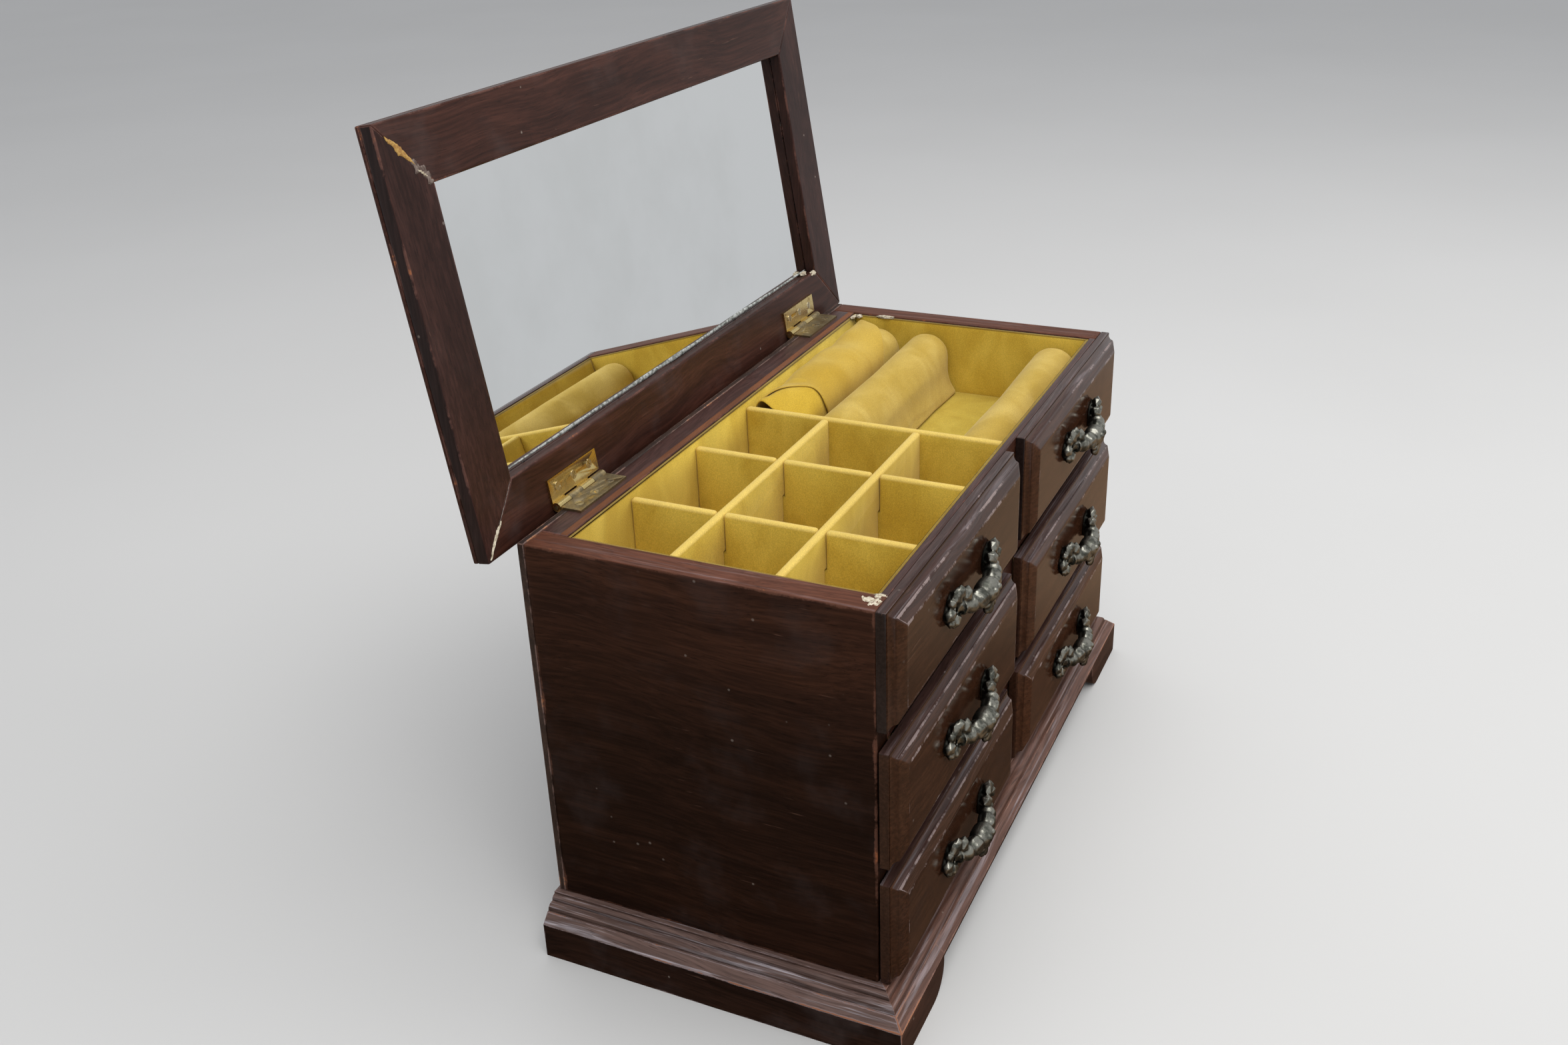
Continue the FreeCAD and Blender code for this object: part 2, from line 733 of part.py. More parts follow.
def lid():
    width = s.frame_width
    face = (lid_face, lid_top_face)
    full_x = (-lid_half, lid_half)
    short_x = (width - lid_half, lid_half - width)
    full_y = (lid_front, lid_rear)
    short_y = (lid_front + width, lid_rear - width)
    front_rail = lid_body("lid_front_rail")
    taper(front_rail, (lid_front, lid_front + width), full_x, face, short_x, face)
    back_rail = lid_body("lid_back_rail")
    taper(back_rail, (lid_rear - width, lid_rear), short_x, face, full_x, face)
    for x in screw_places():
        hole = {"Radius": s.screw_shank_radius + s.pin_clearance, "Height": s.screw_depth + s.pin_clearance}
        feature(back_rail, "SubtractiveCylinder", x, -s.screw_row, lid_face, **hole)
    left_stile = lid_body("lid_left_stile")
    taper(left_stile, (lid_half - width, lid_half), short_y, face, full_y, face, QUARTER_TURN)
    right_stile = lid_body("lid_right_stile")
    taper(right_stile, (-lid_half, width - lid_half), full_y, face, short_y, face, QUARTER_TURN)

    board_top = lid_body("lid_top_board")
    slope_start = lid_top_face + s.top_edge_thickness
    block(board_top, full_x, full_y, (lid_top_face, slope_start))
    slope = s.top_slope_width
    near_z = (-lid_rear, -lid_front)
    far_x = (slope - lid_half, lid_half - slope)
    far_z = (slope - lid_rear, -lid_front - slope)
    taper(board_top, (slope_start, slope_start + s.top_slope_rise), full_x, near_z, far_x, far_z, AXIS_FORWARD)
    half_glass = lid_half - width + s.mirror_lap
    glass_y = (short_y[0] - s.mirror_lap, short_y[1] + s.mirror_lap)
    gap = s.mirror_clearance
    recess_x = (-(half_glass + gap), half_glass + gap)
    recess_y = (glass_y[0] - gap, glass_y[1] + gap)
    glass_top = lid_top_face + s.mirror_thickness
    block(board_top, recess_x, recess_y, (lid_top_face, glass_top + gap), "SubtractiveBox")
    glass = lid_body("mirror")
    block(glass, (-half_glass, half_glass), glass_y, (lid_top_face, glass_top))


# Hinges

def screw_places():
    places = []
    for start in hinge_starts:
        for along in (s.screw_end_inset, s.hinge_length / 2, s.hinge_length - s.screw_end_inset):
            places.append(start + along)
    return places


def hinge_leaves(body, plate, knuckles, screw_face, screw_turn):
    """Two flat leaves with their knuckles, bored for the pin and sunk for the screws."""
    relief = -(s.knuckle_radius + s.leaf_relief)
    bore = s.pin_radius + s.pin_clearance
    for start in hinge_starts:
        block(body, (start, start + s.hinge_length), (-s.leaf_reach, relief), plate)
        for index in knuckles:
            near = start + (index / KNUCKLES) * s.hinge_length + s.knuckle_gap
            far = start + ((index + 1) / KNUCKLES) * s.hinge_length - s.knuckle_gap
            block(body, (near, far), (relief, ZERO), plate)
            barrel = {"Radius": s.knuckle_radius, "Height": far - near}
            feature(body, "AdditiveCylinder", near, ZERO, ZERO, AXIS_X, **barrel)
        feature(body, "SubtractiveCylinder", start, turn=AXIS_X, Radius=bore, Height=s.hinge_length)
    for x in screw_places():
        sizes = {
            "Radius1": s.screw_head_radius + s.pin_clearance,
            "Radius2": s.screw_shank_radius + s.pin_clearance,
            "Height": s.leaf_plate,
        }
        feature(body, "SubtractiveCone", x, -s.screw_row, screw_face, screw_turn, **sizes)


def hinge_screws(body, head_face, shank_start, turn):
    for x in screw_places():
        head = {"Radius1": s.screw_head_radius, "Radius2": s.screw_shank_radius, "Height": s.leaf_plate}
        feature(body, "AdditiveCone", x, -s.screw_row, head_face, turn, **head)
        shank = {"Radius": s.screw_shank_radius, "Height": s.screw_depth}
        feature(body, "AdditiveCylinder", x, -s.screw_row, shank_start, turn, **shank)


def hinges():
    case_plate = (-s.pin_above_rim, s.leaf_plate - s.pin_above_rim)
    lid_plate = (lid_face - s.leaf_plate, lid_face)
    case_leaves = new_body("case_hinge_leaves", ZERO, pin_y, pin_z)
    hinge_leaves(case_leaves, case_plate, CASE_KNUCKLES, case_plate[1], AXIS_DOWN)
    case_screws = new_body("case_hinge_screws", ZERO, pin_y, pin_z)
    hinge_screws(case_screws, case_plate[1], case_plate[0], AXIS_DOWN)
    lid_leaves = lid_body("lid_hinge_leaves")
    hinge_leaves(lid_leaves, lid_plate, LID_KNUCKLES, lid_plate[0], UPRIGHT)
    lid_screws = lid_body("lid_hinge_screws")
    hinge_screws(lid_screws, lid_plate[0], lid_plate[1], UPRIGHT)
    pins = []
    for start in hinge_starts:
        pins.append(cylinder("hinge_pin", s.pin_radius, s.hinge_length, start, pin_y, pin_z, AXIS_X))
    group("hinge_pins", pins)


carcass()
plinth()
false_fronts()
drawers()
tray()
dividers()
ring_rolls()
lid()
hinges()
doc.recompute()

# Every step must have worked, and every cut must have taken something away

for item in doc.Objects:
    if "Invalid" in item.State or "Error" in item.State:
        raise RuntimeError("%s did not work: %s" % (item.Label, item.getStatusString()))
for step in cuts:
    if not step.Shape.Volume < step.BaseFeature.Shape.Volume - 1e-6:
        raise RuntimeError("%s of %s cuts nothing" % (step.Label, step.getParentGeoFeatureGroup().Label))

os.makedirs("parts", exist_ok=True)
for piece in sub_parts:
    if piece.Shape.isNull() or not piece.Shape.isValid():
        raise RuntimeError("%s has no sound shape" % piece.Label)
    piece.Shape.exportStep("parts/%s.step" % piece.Label)
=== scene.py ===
import math

import bmesh
import bpy
from mathutils import Matrix, Vector, noise


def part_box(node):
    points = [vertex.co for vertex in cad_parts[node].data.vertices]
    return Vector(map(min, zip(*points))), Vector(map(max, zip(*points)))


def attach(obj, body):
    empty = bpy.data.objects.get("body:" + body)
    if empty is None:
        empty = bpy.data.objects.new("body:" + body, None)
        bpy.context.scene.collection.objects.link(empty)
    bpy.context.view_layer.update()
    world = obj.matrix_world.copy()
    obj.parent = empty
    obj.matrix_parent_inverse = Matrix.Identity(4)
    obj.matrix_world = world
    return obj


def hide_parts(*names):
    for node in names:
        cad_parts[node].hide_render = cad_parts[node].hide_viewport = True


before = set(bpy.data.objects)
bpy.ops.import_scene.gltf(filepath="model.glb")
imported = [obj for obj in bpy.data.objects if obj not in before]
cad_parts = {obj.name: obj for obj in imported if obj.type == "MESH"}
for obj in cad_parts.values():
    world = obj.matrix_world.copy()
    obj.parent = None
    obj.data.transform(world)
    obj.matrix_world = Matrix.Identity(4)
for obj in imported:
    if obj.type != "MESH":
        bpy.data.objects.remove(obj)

MM = 0.001
TO_METRES = Matrix.Diagonal((MM, MM, MM, 1))
ALL_SMOOTH = 180.0
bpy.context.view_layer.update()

# Places shared with the solids
PIN_RADIUS = 0.8 * MM
PIN = Vector((0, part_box("hinge_pins")[0].y + PIN_RADIUS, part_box("hinge_pins")[0].z + PIN_RADIUS))
LID_ANGLE = math.radians(98.6)
LID_OPEN = Matrix.Translation(PIN) @ Matrix.Rotation(-LID_ANGLE, 4, "X")
SIDES = ("left", "right")
DRAWERS = ["%s_%s_drawer" % (row, side) for row in ("bottom", "middle") for side in SIDES]


# Node helpers

def fill_inputs(tree, made, inputs):
    for key, value in inputs.items():
        if isinstance(value, bpy.types.NodeSocket):
            tree.links.new(value, made.inputs[key])
        else:
            made.inputs[key].default_value = value
    return made


def node(tree, kind, inputs=None, **settings):
    made = tree.nodes.new("ShaderNode" + kind)
    for key, value in settings.items():
        setattr(made, key, value)
    return fill_inputs(tree, made, inputs or {})


def mixed(tree, factor, first, second, blend="MIX"):
    first, second = [(*tone, 1) if isinstance(tone, tuple) else tone for tone in (first, second)]
    made = node(tree, "Mix", {0: factor, 6: first, 7: second}, data_type="RGBA", blend_type=blend)
    return made.outputs[2]


def maths(tree, operation, first, second=0.0):
    return node(tree, "Math", {0: first, 1: second}, operation=operation).outputs[0]


def times(tree, first, second):
    return maths(tree, "MULTIPLY", first, second)


def plus(tree, first, second):
    return maths(tree, "ADD", first, second)


def remap(tree, value, low, high, to_low=0.0, to_high=1.0):
    sockets = {"Value": value, "From Min": low, "From Max": high, "To Min": to_low, "To Max": to_high}
    return node(tree, "MapRange", sockets, interpolation_type="SMOOTHSTEP").outputs[0]


def stretched(tree, vector, scale, turn=(0, 0, 0)):
    return node(tree, "Mapping", {"Vector": vector, "Scale": scale, "Rotation": turn}).outputs[0]


def noise_of(tree, vector, scale, detail=2.0, roughness=0.5, distortion=0.0):
    sockets = {"Vector": vector, "Scale": scale, "Detail": detail}
    sockets.update({"Roughness": roughness, "Distortion": distortion})
    return node(tree, "TexNoise", sockets).outputs[0]


def shaded(tree, colour, amount):
    """The colour times a grey that changes over the surface."""
    grey = node(tree, "CombineColor", {0: amount, 1: amount, 2: amount}).outputs[0]
    return mixed(tree, 1.0, colour, grey, "MULTIPLY")


def painted(tree, name):
    return node(tree, "Attribute", attribute_name=name).outputs["Fac"]


def new_group(name, inputs, outputs):
    group = bpy.data.node_groups.new(name, "ShaderNodeTree")
    for label, kind in inputs:
        group.interface.new_socket(name=label, in_out="INPUT", socket_type="NodeSocket" + kind)
    for label in outputs:
        group.interface.new_socket(name=label, in_out="OUTPUT", socket_type="NodeSocketFloat")
    start = group.nodes.new("NodeGroupInput")
    end = group.nodes.new("NodeGroupOutput")
    return group, start.outputs, end.inputs


def use_group(tree, group, **inputs):
    made = tree.nodes.new("ShaderNodeGroup")
    made.node_tree = group
    return fill_inputs(tree, made, inputs).outputs


def new_material(name, **constants):
    material = bpy.data.materials.new(name)
    material.use_nodes = True
    tree = material.node_tree
    shader = tree.nodes["Principled BSDF"]
    for key, value in constants.items():
        shader.inputs[key.replace("_", " ")].default_value = value
    place = node(tree, "TexCoord").outputs["Object"]
    return material, tree, shader, place


def set_bump(tree, shader, height, strength, depth=0.3 * MM):
    bump = node(tree, "Bump", {"Height": height, "Strength": strength, "Distance": depth})
    tree.links.new(bump.outputs[0], shader.inputs["Normal"])


# Shared effects

def make_grain():
    """Streaks, fibres and pores of a board whose grain runs along the vector's X."""
    tree, start, end = new_group("wood grain", [("Vector", "Vector")], ["Streaks", "Fibres", "Pores"])
    wavy = noise_of(tree, start["Vector"], 9.0)
    lift = node(tree, "CombineXYZ", {"Y": times(tree, wavy, 0.02), "Z": times(tree, wavy, 0.02)}).outputs[0]
    bent = node(tree, "VectorMath", {0: start["Vector"], 1: lift}, operation="ADD").outputs[0]
    streaks = noise_of(tree, stretched(tree, bent, (6, 75, 75)), 1.0, 4.0, 0.6, 0.5)
    fibres = noise_of(tree, stretched(tree, bent, (34, 900, 900)), 1.0, 3.0, 0.6)
    pores = noise_of(tree, stretched(tree, bent, (110, 2400, 2400)), 1.0, 1.0)
    tree.links.new(remap(tree, streaks, 0.36, 0.7), end["Streaks"])
    tree.links.new(fibres, end["Fibres"])
    tree.links.new(remap(tree, pores, 0.62, 0.72), end["Pores"])
    return tree


def make_edge_wear():
    """Where the finish is rubbed thin, and where it is rubbed through to bare wood."""
    sockets = [("Vector", "Vector"), ("Wear", "Float"), ("Reach", "Float"), ("Depth", "Float")]
    tree, start, end = new_group("edge wear", sockets, ["Rubbed", "Bare"])
    patches = noise_of(tree, start["Vector"], 60.0, 3.0, 0.6)
    nicks = noise_of(tree, start["Vector"], 800.0, 3.0, 0.65)
    rough = plus(tree, times(tree, patches, 1.5), times(tree, nicks, 0.5))
    total = plus(tree, times(tree, start["Wear"], 0.6), maths(tree, "SUBTRACT", rough, 1.0))
    total = plus(tree, total, start["Reach"])
    tree.links.new(remap(tree, total, 0.44, 0.66), end["Rubbed"])
    tree.links.new(remap(tree, plus(tree, total, start["Depth"]), 0.72, 0.86), end["Bare"])
    return tree


def make_scuffs():
    """Light scratches along the grain, small pale specks and cloudy dust."""
    tree, start, end = new_group("scuffs", [("Vector", "Vector")], ["Scratches", "Specks", "Cloud"])
    lines = noise_of(tree, stretched(tree, start["Vector"], (60, 900, 900)), 1.0)
    region = noise_of(tree, start["Vector"], 22.0)
    lines = times(tree, remap(tree, lines, 0.69, 0.76), remap(tree, region, 0.46, 0.62))
    dots = node(tree, "TexVoronoi", {"Vector": start["Vector"], "Scale": 190.0})
    small = remap(tree, dots.outputs["Distance"], 0.14, 0.06)
    rare = node(tree, "SeparateColor", {0: dots.outputs["Color"]}).outputs[0]
    specks = times(tree, small, remap(tree, rare, 0.90, 0.95))
    cloud = noise_of(tree, start["Vector"], 34.0, 4.0, 0.6)
    tree.links.new(lines, end["Scratches"])
    tree.links.new(specks, end["Specks"])
    tree.links.new(remap(tree, cloud, 0.5, 0.78), end["Cloud"])
    return tree


def make_pile():
    """Brushed patches, stains and fine fuzz of short velvet."""
    tree, start, end = new_group("velvet pile", [("Vector", "Vector")], ["Brushed", "Stain", "Fuzz"])
    brushed = noise_of(tree, stretched(tree, start["Vector"], (1.0, 1.0, 0.55)), 48.0, 4.0, 0.55, 0.5)
    stain = noise_of(tree, start["Vector"], 24.0, 3.0, 0.55)
    fuzz = noise_of(tree, start["Vector"], 2400.0, 2.0, 0.7)
    tree.links.new(remap(tree, brushed, 0.3, 0.72), end["Brushed"])
    tree.links.new(remap(tree, stain, 0.5, 0.75), end["Stain"])
    tree.links.new(fuzz, end["Fuzz"])
    return tree


GRAIN = make_grain()
EDGE_WEAR = make_edge_wear()
SCUFFS = make_scuffs()
PILE = make_pile()

ALONG_X = (0, 0, 0)
ALONG_Y = (0, 0, math.radians(90))
ALONG_Z = (0, math.radians(90), 0)


# Finishes

DARK_END_AND_SHADE = (0.011, 0.0085, 0.0085)
CHALK = (0.45, 0.41, 0.43)
DUST = (0.13, 0.10, 0.095)
SCRATCHED = (0.14, 0.07, 0.045)
SPECK = (0.30, 0.25, 0.21)
GRIME = (0.16, 0.10, 0.06)
SILVER, CLOUDED_SILVER = (0.93, 0.94, 0.94), (0.88, 0.89, 0.885)
LOST_SILVER, SILVER_BLOOM = (0.05, 0.05, 0.046), (0.48, 0.48, 0.45)


def stained_wood(name, dark, mid, grain, reach=0.0, depth=0.0, rubbed=(0.17, 0.10, 0.08),
                 bare=(0.38, 0.17, 0.075), sheen=0.42, dusty=0.25, specular=0.4, specks=0.6, top=None,
                 bloom=0.0, painted_light_above=None, relief=0.16, ends=False):
    """Dark stain under old satin lacquer, lighter on upward faces as painted light from above and sheen, with
    rubbed edges, scratches and dust.
    """
    material, tree, shader, place = new_material(name, Specular_IOR_Level=specular)
    turned = stretched(tree, place, (1, 1, 1), grain)
    fibre = use_group(tree, GRAIN, Vector=turned)
    scuff = use_group(tree, SCUFFS, Vector=turned)
    worn = use_group(tree, EDGE_WEAR, Vector=place, Wear=painted(tree, "wear"), Reach=reach, Depth=depth)
    colour = mixed(tree, fibre["Streaks"], dark, mid)
    # The marked faces take a near-black colour: darkened ends on the fronts, and painted shade on the lid's
    # outer side faces
    if ends:
        colour = mixed(tree, times(tree, painted(tree, "ends"), 0.85), colour, DARK_END_AND_SHADE)
    # Painted light: the colour grows lighter up the piece, standing in for light falling from above
    if painted_light_above:
        height = node(tree, "SeparateXYZ", {0: place}).outputs["Z"]
        colour = shaded(tree, colour, remap(tree, height, painted_light_above[0], painted_light_above[1], 1.0, painted_light_above[2]))
    # Painted light: upward faces take the lighter top colour, standing in for light from above and sheen; the
    # chalky bloom follows the same share
    if top:
        painted_top_light = times(tree, painted(tree, "top"), remap(tree, scuff["Cloud"], 0.0, 1.0, 0.82, 1.0))
        colour = mixed(tree, painted_top_light, colour, top)
        chalky = noise_of(tree, stretched(tree, turned, (14, 420, 420)), 1.0, 4.0, 0.6, 0.6)
        chalky = times(tree, remap(tree, chalky, 0.52, 0.7), times(tree, painted_top_light, bloom))
        colour = mixed(tree, chalky, colour, CHALK)
    colour = shaded(tree, colour, remap(tree, fibre["Fibres"], 0.35, 0.7, 0.72, 1.2))
    colour = mixed(tree, times(tree, fibre["Pores"], 0.5), colour, tuple(tone * 0.35 for tone in dark))
    colour = mixed(tree, times(tree, scuff["Cloud"], dusty * 0.35), colour, DUST)
    colour = mixed(tree, times(tree, scuff["Scratches"], 0.45), colour, SCRATCHED)
    colour = mixed(tree, times(tree, scuff["Specks"], specks), colour, SPECK)
    colour = mixed(tree, times(tree, worn["Rubbed"], 0.75), colour, rubbed)
    colour = mixed(tree, times(tree, worn["Bare"], 0.85), colour, bare)
    tree.links.new(colour, shader.inputs["Base Color"])
    gloss = plus(tree, times(tree, scuff["Cloud"], 0.16), plus(tree, times(tree, worn["Rubbed"], 0.2), sheen))
    tree.links.new(gloss, shader.inputs["Roughness"])
    height = maths(tree, "SUBTRACT", fibre["Fibres"], times(tree, fibre["Pores"], 0.6))
    set_bump(tree, shader, height, relief)
    return material


def plain_wood(name, light, dark, grain):
    """Bare softwood, yellowed and a little grubby."""
    material, tree, shader, place = new_material(name, Specular_IOR_Level=0.3)
    turned = stretched(tree, place, (1, 1, 1), grain)
    fibre = use_group(tree, GRAIN, Vector=turned)
    scuff = use_group(tree, SCUFFS, Vector=turned)
    colour = mixed(tree, fibre["Streaks"], dark, light)
    colour = mixed(tree, times(tree, fibre["Pores"], 0.5), colour, tuple(tone * 0.5 for tone in dark))
    colour = mixed(tree, times(tree, scuff["Cloud"], 0.3), colour, GRIME)
    tree.links.new(colour, shader.inputs["Base Color"])
    tree.links.new(remap(tree, fibre["Fibres"], 0.3, 0.7, 0.62, 0.82), shader.inputs["Roughness"])
    set_bump(tree, shader, fibre["Fibres"], 0.25)
    return material


def velvet(name, deep, lit, grubby, stain=0.35, rubbed_top=None, rubbed=(0.68, 0.49, 0.14), reach=1.6 * MM):
    """Short golden pile, brushed light and dark in patches, of another colour where its top is rubbed."""
    material, tree, shader, place = new_material(
        name, Specular_IOR_Level=0.1, Sheen_Weight=0.3, Sheen_Roughness=0.45, Sheen_Tint=(1.0, 0.86, 0.5, 1),
    )
    pile = use_group(tree, PILE, Vector=place)
    colour = mixed(tree, pile["Brushed"], deep, lit)
    colour = mixed(tree, times(tree, pile["Stain"], stain), colour, grubby)
    if rubbed_top:
        height = node(tree, "SeparateXYZ", {0: place}).outputs["Z"]
        top = times(tree, remap(tree, height, rubbed_top - reach, rubbed_top - 0.3 * reach), 0.7)
        colour = mixed(tree, top, colour, rubbed)
    colour = shaded(tree, colour, remap(tree, pile["Fuzz"], 0.3, 0.75, 0.84, 1.12))
    tree.links.new(colour, shader.inputs["Base Color"])
    tree.links.new(remap(tree, pile["Fuzz"], 0.2, 0.8, 0.82, 0.98), shader.inputs["Roughness"])
    set_bump(tree, shader, plus(tree, pile["Fuzz"], times(tree, pile["Brushed"], 1.5)), 0.3)
    return material


def metal(name, bright, dull, patina_and_shade_colour, smooth, tarnish, scale):
    """Old metal: bright where it is rubbed, dull in patches, and dark in the hollows as patina and where
    painted shade is marked.
    """
    material, tree, shader, place = new_material(name, Metallic=1.0)
    patches = noise_of(tree, place, scale, 4.0, 0.62)
    fine = noise_of(tree, place, scale * 9, 3.0, 0.6)
    # The hollow mark holds patina in the dips and, on the pulls, painted shade
    hollow = painted(tree, "hollow")
    dulled = remap(tree, patches, tarnish, tarnish + 0.22)
    colour = mixed(tree, dulled, bright, dull)
    colour = mixed(tree, times(tree, remap(tree, fine, 0.45, 0.75), 0.35), colour, dull)
    colour = mixed(tree, hollow, colour, patina_and_shade_colour)
    tree.links.new(colour, shader.inputs["Base Color"])
    rough = plus(tree, times(tree, dulled, 0.22), plus(tree, times(tree, hollow, 0.3), smooth))
    tree.links.new(rough, shader.inputs["Roughness"])
    set_bump(tree, shader, fine, 0.2, 0.2 * MM)
    return material


def old_mirror(name):
    """Silvered glass with dark lost silvering and pale bloom near its edges."""
    material, tree, shader, place = new_material(name, Metallic=1.0)
    foxing = noise_of(tree, place, 190.0, 5.0, 0.65)
    lost = plus(tree, painted(tree, "edge"), times(tree, maths(tree, "SUBTRACT", foxing, 0.5), 1.6))
    bloom = noise_of(tree, place, 420.0, 3.0, 0.6)
    cloud = noise_of(tree, place, 18.0, 4.0, 0.6)
    colour = mixed(tree, remap(tree, cloud, 0.4, 0.75), SILVER, CLOUDED_SILVER)
    damage = mixed(tree, remap(tree, bloom, 0.45, 0.54), LOST_SILVER, SILVER_BLOOM)
    lost = remap(tree, lost, 0.6, 0.75)
    colour = mixed(tree, lost, colour, damage)
    tree.links.new(colour, shader.inputs["Base Color"])
    rough = plus(tree, remap(tree, cloud, 0.45, 0.8, 0.001, 0.003), times(tree, lost, 0.5))
    tree.links.new(rough, shader.inputs["Roughness"])
    return material


def dried_glue(name, pale, dark):
    """Old wood glue: a dull cracked crust, yellowed and dirty in its hollows."""
    material, tree, shader, place = new_material(name, Specular_IOR_Level=0.35)
    crust = noise_of(tree, place, 650.0, 4.0, 0.65)
    colour = mixed(tree, remap(tree, crust, 0.36, 0.62), dark, pale)
    tree.links.new(colour, shader.inputs["Base Color"])
    tree.links.new(remap(tree, crust, 0.3, 0.7, 0.75, 0.5), shader.inputs["Roughness"])
    set_bump(tree, shader, crust, 0.6)
    return material


# Painted shade: a dark stain, darkened further below the front stain for faces turned away from the light;
# painted light lifts it towards the top
SIDE_WOOD = stained_wood("side_panel_stain_and_shade", (0.0125, 0.0047, 0.0025), (0.0218, 0.0080, 0.0039), ALONG_Y,
                         reach=-0.05, bare=(0.26, 0.085, 0.035), rubbed=(0.10, 0.042, 0.026), specular=0.08,
                         specks=0.3, top=(0.118, 0.043, 0.025), bloom=0.15, painted_light_above=(0.10, 0.17, 2.2))
FRONT = {"grain": ALONG_X, "depth": -0.4, "rubbed": (0.27, 0.205, 0.19), "sheen": 0.11, "specular": 0.26,
         "dusty": 0.1, "specks": 0.2, "top": (0.050, 0.0265, 0.0225), "bloom": 0.2,
         "relief": 0.05, "ends": True}
FRONT_WOOD = stained_wood("front_stain_left", (0.034, 0.0130, 0.0064), (0.049, 0.0195, 0.0094),
                          reach=-0.1, **FRONT)
FAR_FRONT_WOOD = stained_wood("front_stain_right", (0.044, 0.0165, 0.0080), (0.063, 0.0250, 0.0120),
                              reach=-0.2, **FRONT)
RAIL_WOOD = stained_wood("rail_stain", (0.036, 0.0120, 0.0066), (0.060, 0.0215, 0.0125), ALONG_X, sheen=0.34,
                         reach=-0.16, rubbed=(0.15, 0.06, 0.04), specular=0.22, top=(0.060, 0.0300, 0.0255))
LID = {"sheen": 0.36, "reach": -0.12, "bare": (0.28, 0.10, 0.04), "rubbed": (0.11, 0.05, 0.038),
       "specular": 0.17, "relief": 0.08}
LID_WOOD_X = stained_wood("lid_stain_long", (0.031, 0.0105, 0.0066), (0.056, 0.0200, 0.0130), ALONG_X,
                          dusty=0.5, **LID)
LID_WOOD_Z = stained_wood("lid_stain_upright", (0.026, 0.0103, 0.0078), (0.046, 0.0188, 0.0144), ALONG_Z,
                          ends=True, **LID)
BACK_WOOD = stained_wood("back_board_stain", (0.022, 0.010, 0.006), (0.045, 0.022, 0.013), ALONG_X, sheen=0.6)
PLINTH_WOOD_X = stained_wood("plinth_stain_front", (0.042, 0.0165, 0.0100), (0.072, 0.030, 0.019), ALONG_X,
                             reach=-0.04, bare=(0.30, 0.12, 0.055), rubbed=(0.24, 0.13, 0.095), dusty=0.5,
                             top=(0.130, 0.062, 0.043), bloom=0.4)
# Painted shade: a dark stain, darkened further below the front rail's stain for faces turned away from the
# light
PLINTH_WOOD_Y = stained_wood("plinth_stain_side_and_shade", (0.0145, 0.0058, 0.0034), (0.030, 0.0120, 0.0070), ALONG_Y,
                             reach=-0.04, bare=(0.26, 0.10, 0.045), rubbed=(0.22, 0.165, 0.16), dusty=0.5,
                             specular=0.12, top=(0.150, 0.094, 0.078), bloom=1.0)
DRAWER_WOOD = plain_wood("drawer_box_wood", (0.40, 0.25, 0.13), (0.25, 0.14, 0.065), ALONG_Y)
HIDDEN_WOOD = plain_wood("carcass_wood", (0.20, 0.11, 0.06), (0.11, 0.055, 0.03), ALONG_X)
BARE_STRIP = plain_wood("unstained_strip", (0.185, 0.066, 0.025), (0.105, 0.036, 0.014), ALONG_X)
GOLD = ((0.53, 0.35, 0.040), (0.69, 0.495, 0.078), (0.44, 0.315, 0.05))
LINING_VELVET = velvet("lining_velvet", *GOLD)
WALL_VELVET = velvet("tray_wall_velvet", *GOLD, rubbed_top=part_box("tray_wall_linings")[1].z,
                     rubbed=(0.09, 0.045, 0.014), reach=0.9 * MM)
DIVIDER_VELVET = velvet("divider_velvet", *GOLD, rubbed_top=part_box("cross_divider_left")[1].z)
FLOOR_VELVET = velvet("floor_velvet", (0.42, 0.29, 0.036), (0.55, 0.41, 0.07), (0.38, 0.28, 0.045))
ROLL_VELVET = velvet("roll_velvet", (0.43, 0.285, 0.048), (0.55, 0.39, 0.10), (0.38, 0.245, 0.045),
                     stain=0.25)
COVER_VELVET = velvet("cover_velvet", (0.44, 0.275, 0.032), (0.52, 0.35, 0.065), (0.37, 0.22, 0.03),
                      stain=0.25)
FLAP_VELVET = velvet("flap_velvet", (0.47, 0.295, 0.026), (0.54, 0.355, 0.042), (0.40, 0.235, 0.02),
                     stain=0.2)
BRIGHT_BRASS = metal("bright_brass", (0.78, 0.60, 0.26), (0.52, 0.38, 0.15), (0.09, 0.06, 0.025),
                     smooth=0.22, tarnish=0.52, scale=190.0)
DULL_BRASS = metal("tarnished_brass", (0.52, 0.40, 0.20), (0.25, 0.20, 0.12), (0.06, 0.05, 0.03),
                   smooth=0.34, tarnish=0.40, scale=190.0)
SCREW_METAL = metal("plated_screw", (0.76, 0.66, 0.43), (0.46, 0.38, 0.22), (0.05, 0.042, 0.03),
                    smooth=0.26, tarnish=0.5, scale=300.0)
CAST_METAL = metal("antiqued_casting", (0.36, 0.35, 0.30), (0.105, 0.107, 0.088), (0.005, 0.0055, 0.0045),
                   smooth=0.26, tarnish=0.43, scale=260.0)
MIRROR = old_mirror("old_mirror")
GLUE = dried_glue("dried_glue", (0.62, 0.55, 0.42), (0.30, 0.24, 0.16))
YELLOW_GLUE = dried_glue("yellowed_glue", (0.46, 0.28, 0.075), (0.30, 0.15, 0.04))
PUTTY = dried_glue("mirror_putty", (0.42, 0.43, 0.40), (0.12, 0.125, 0.11))
CHIPPED = dried_glue("chipped_finish", (0.19, 0.145, 0.12), (0.08, 0.052, 0.042))


# Mesh helpers

NARROWEST_BAND = 1.2 * MM


def smoothed(value, low, high):
    share = max(0.0, min(1.0, (value - low) / (high - low)))
    return share * share * (3 - 2 * share)


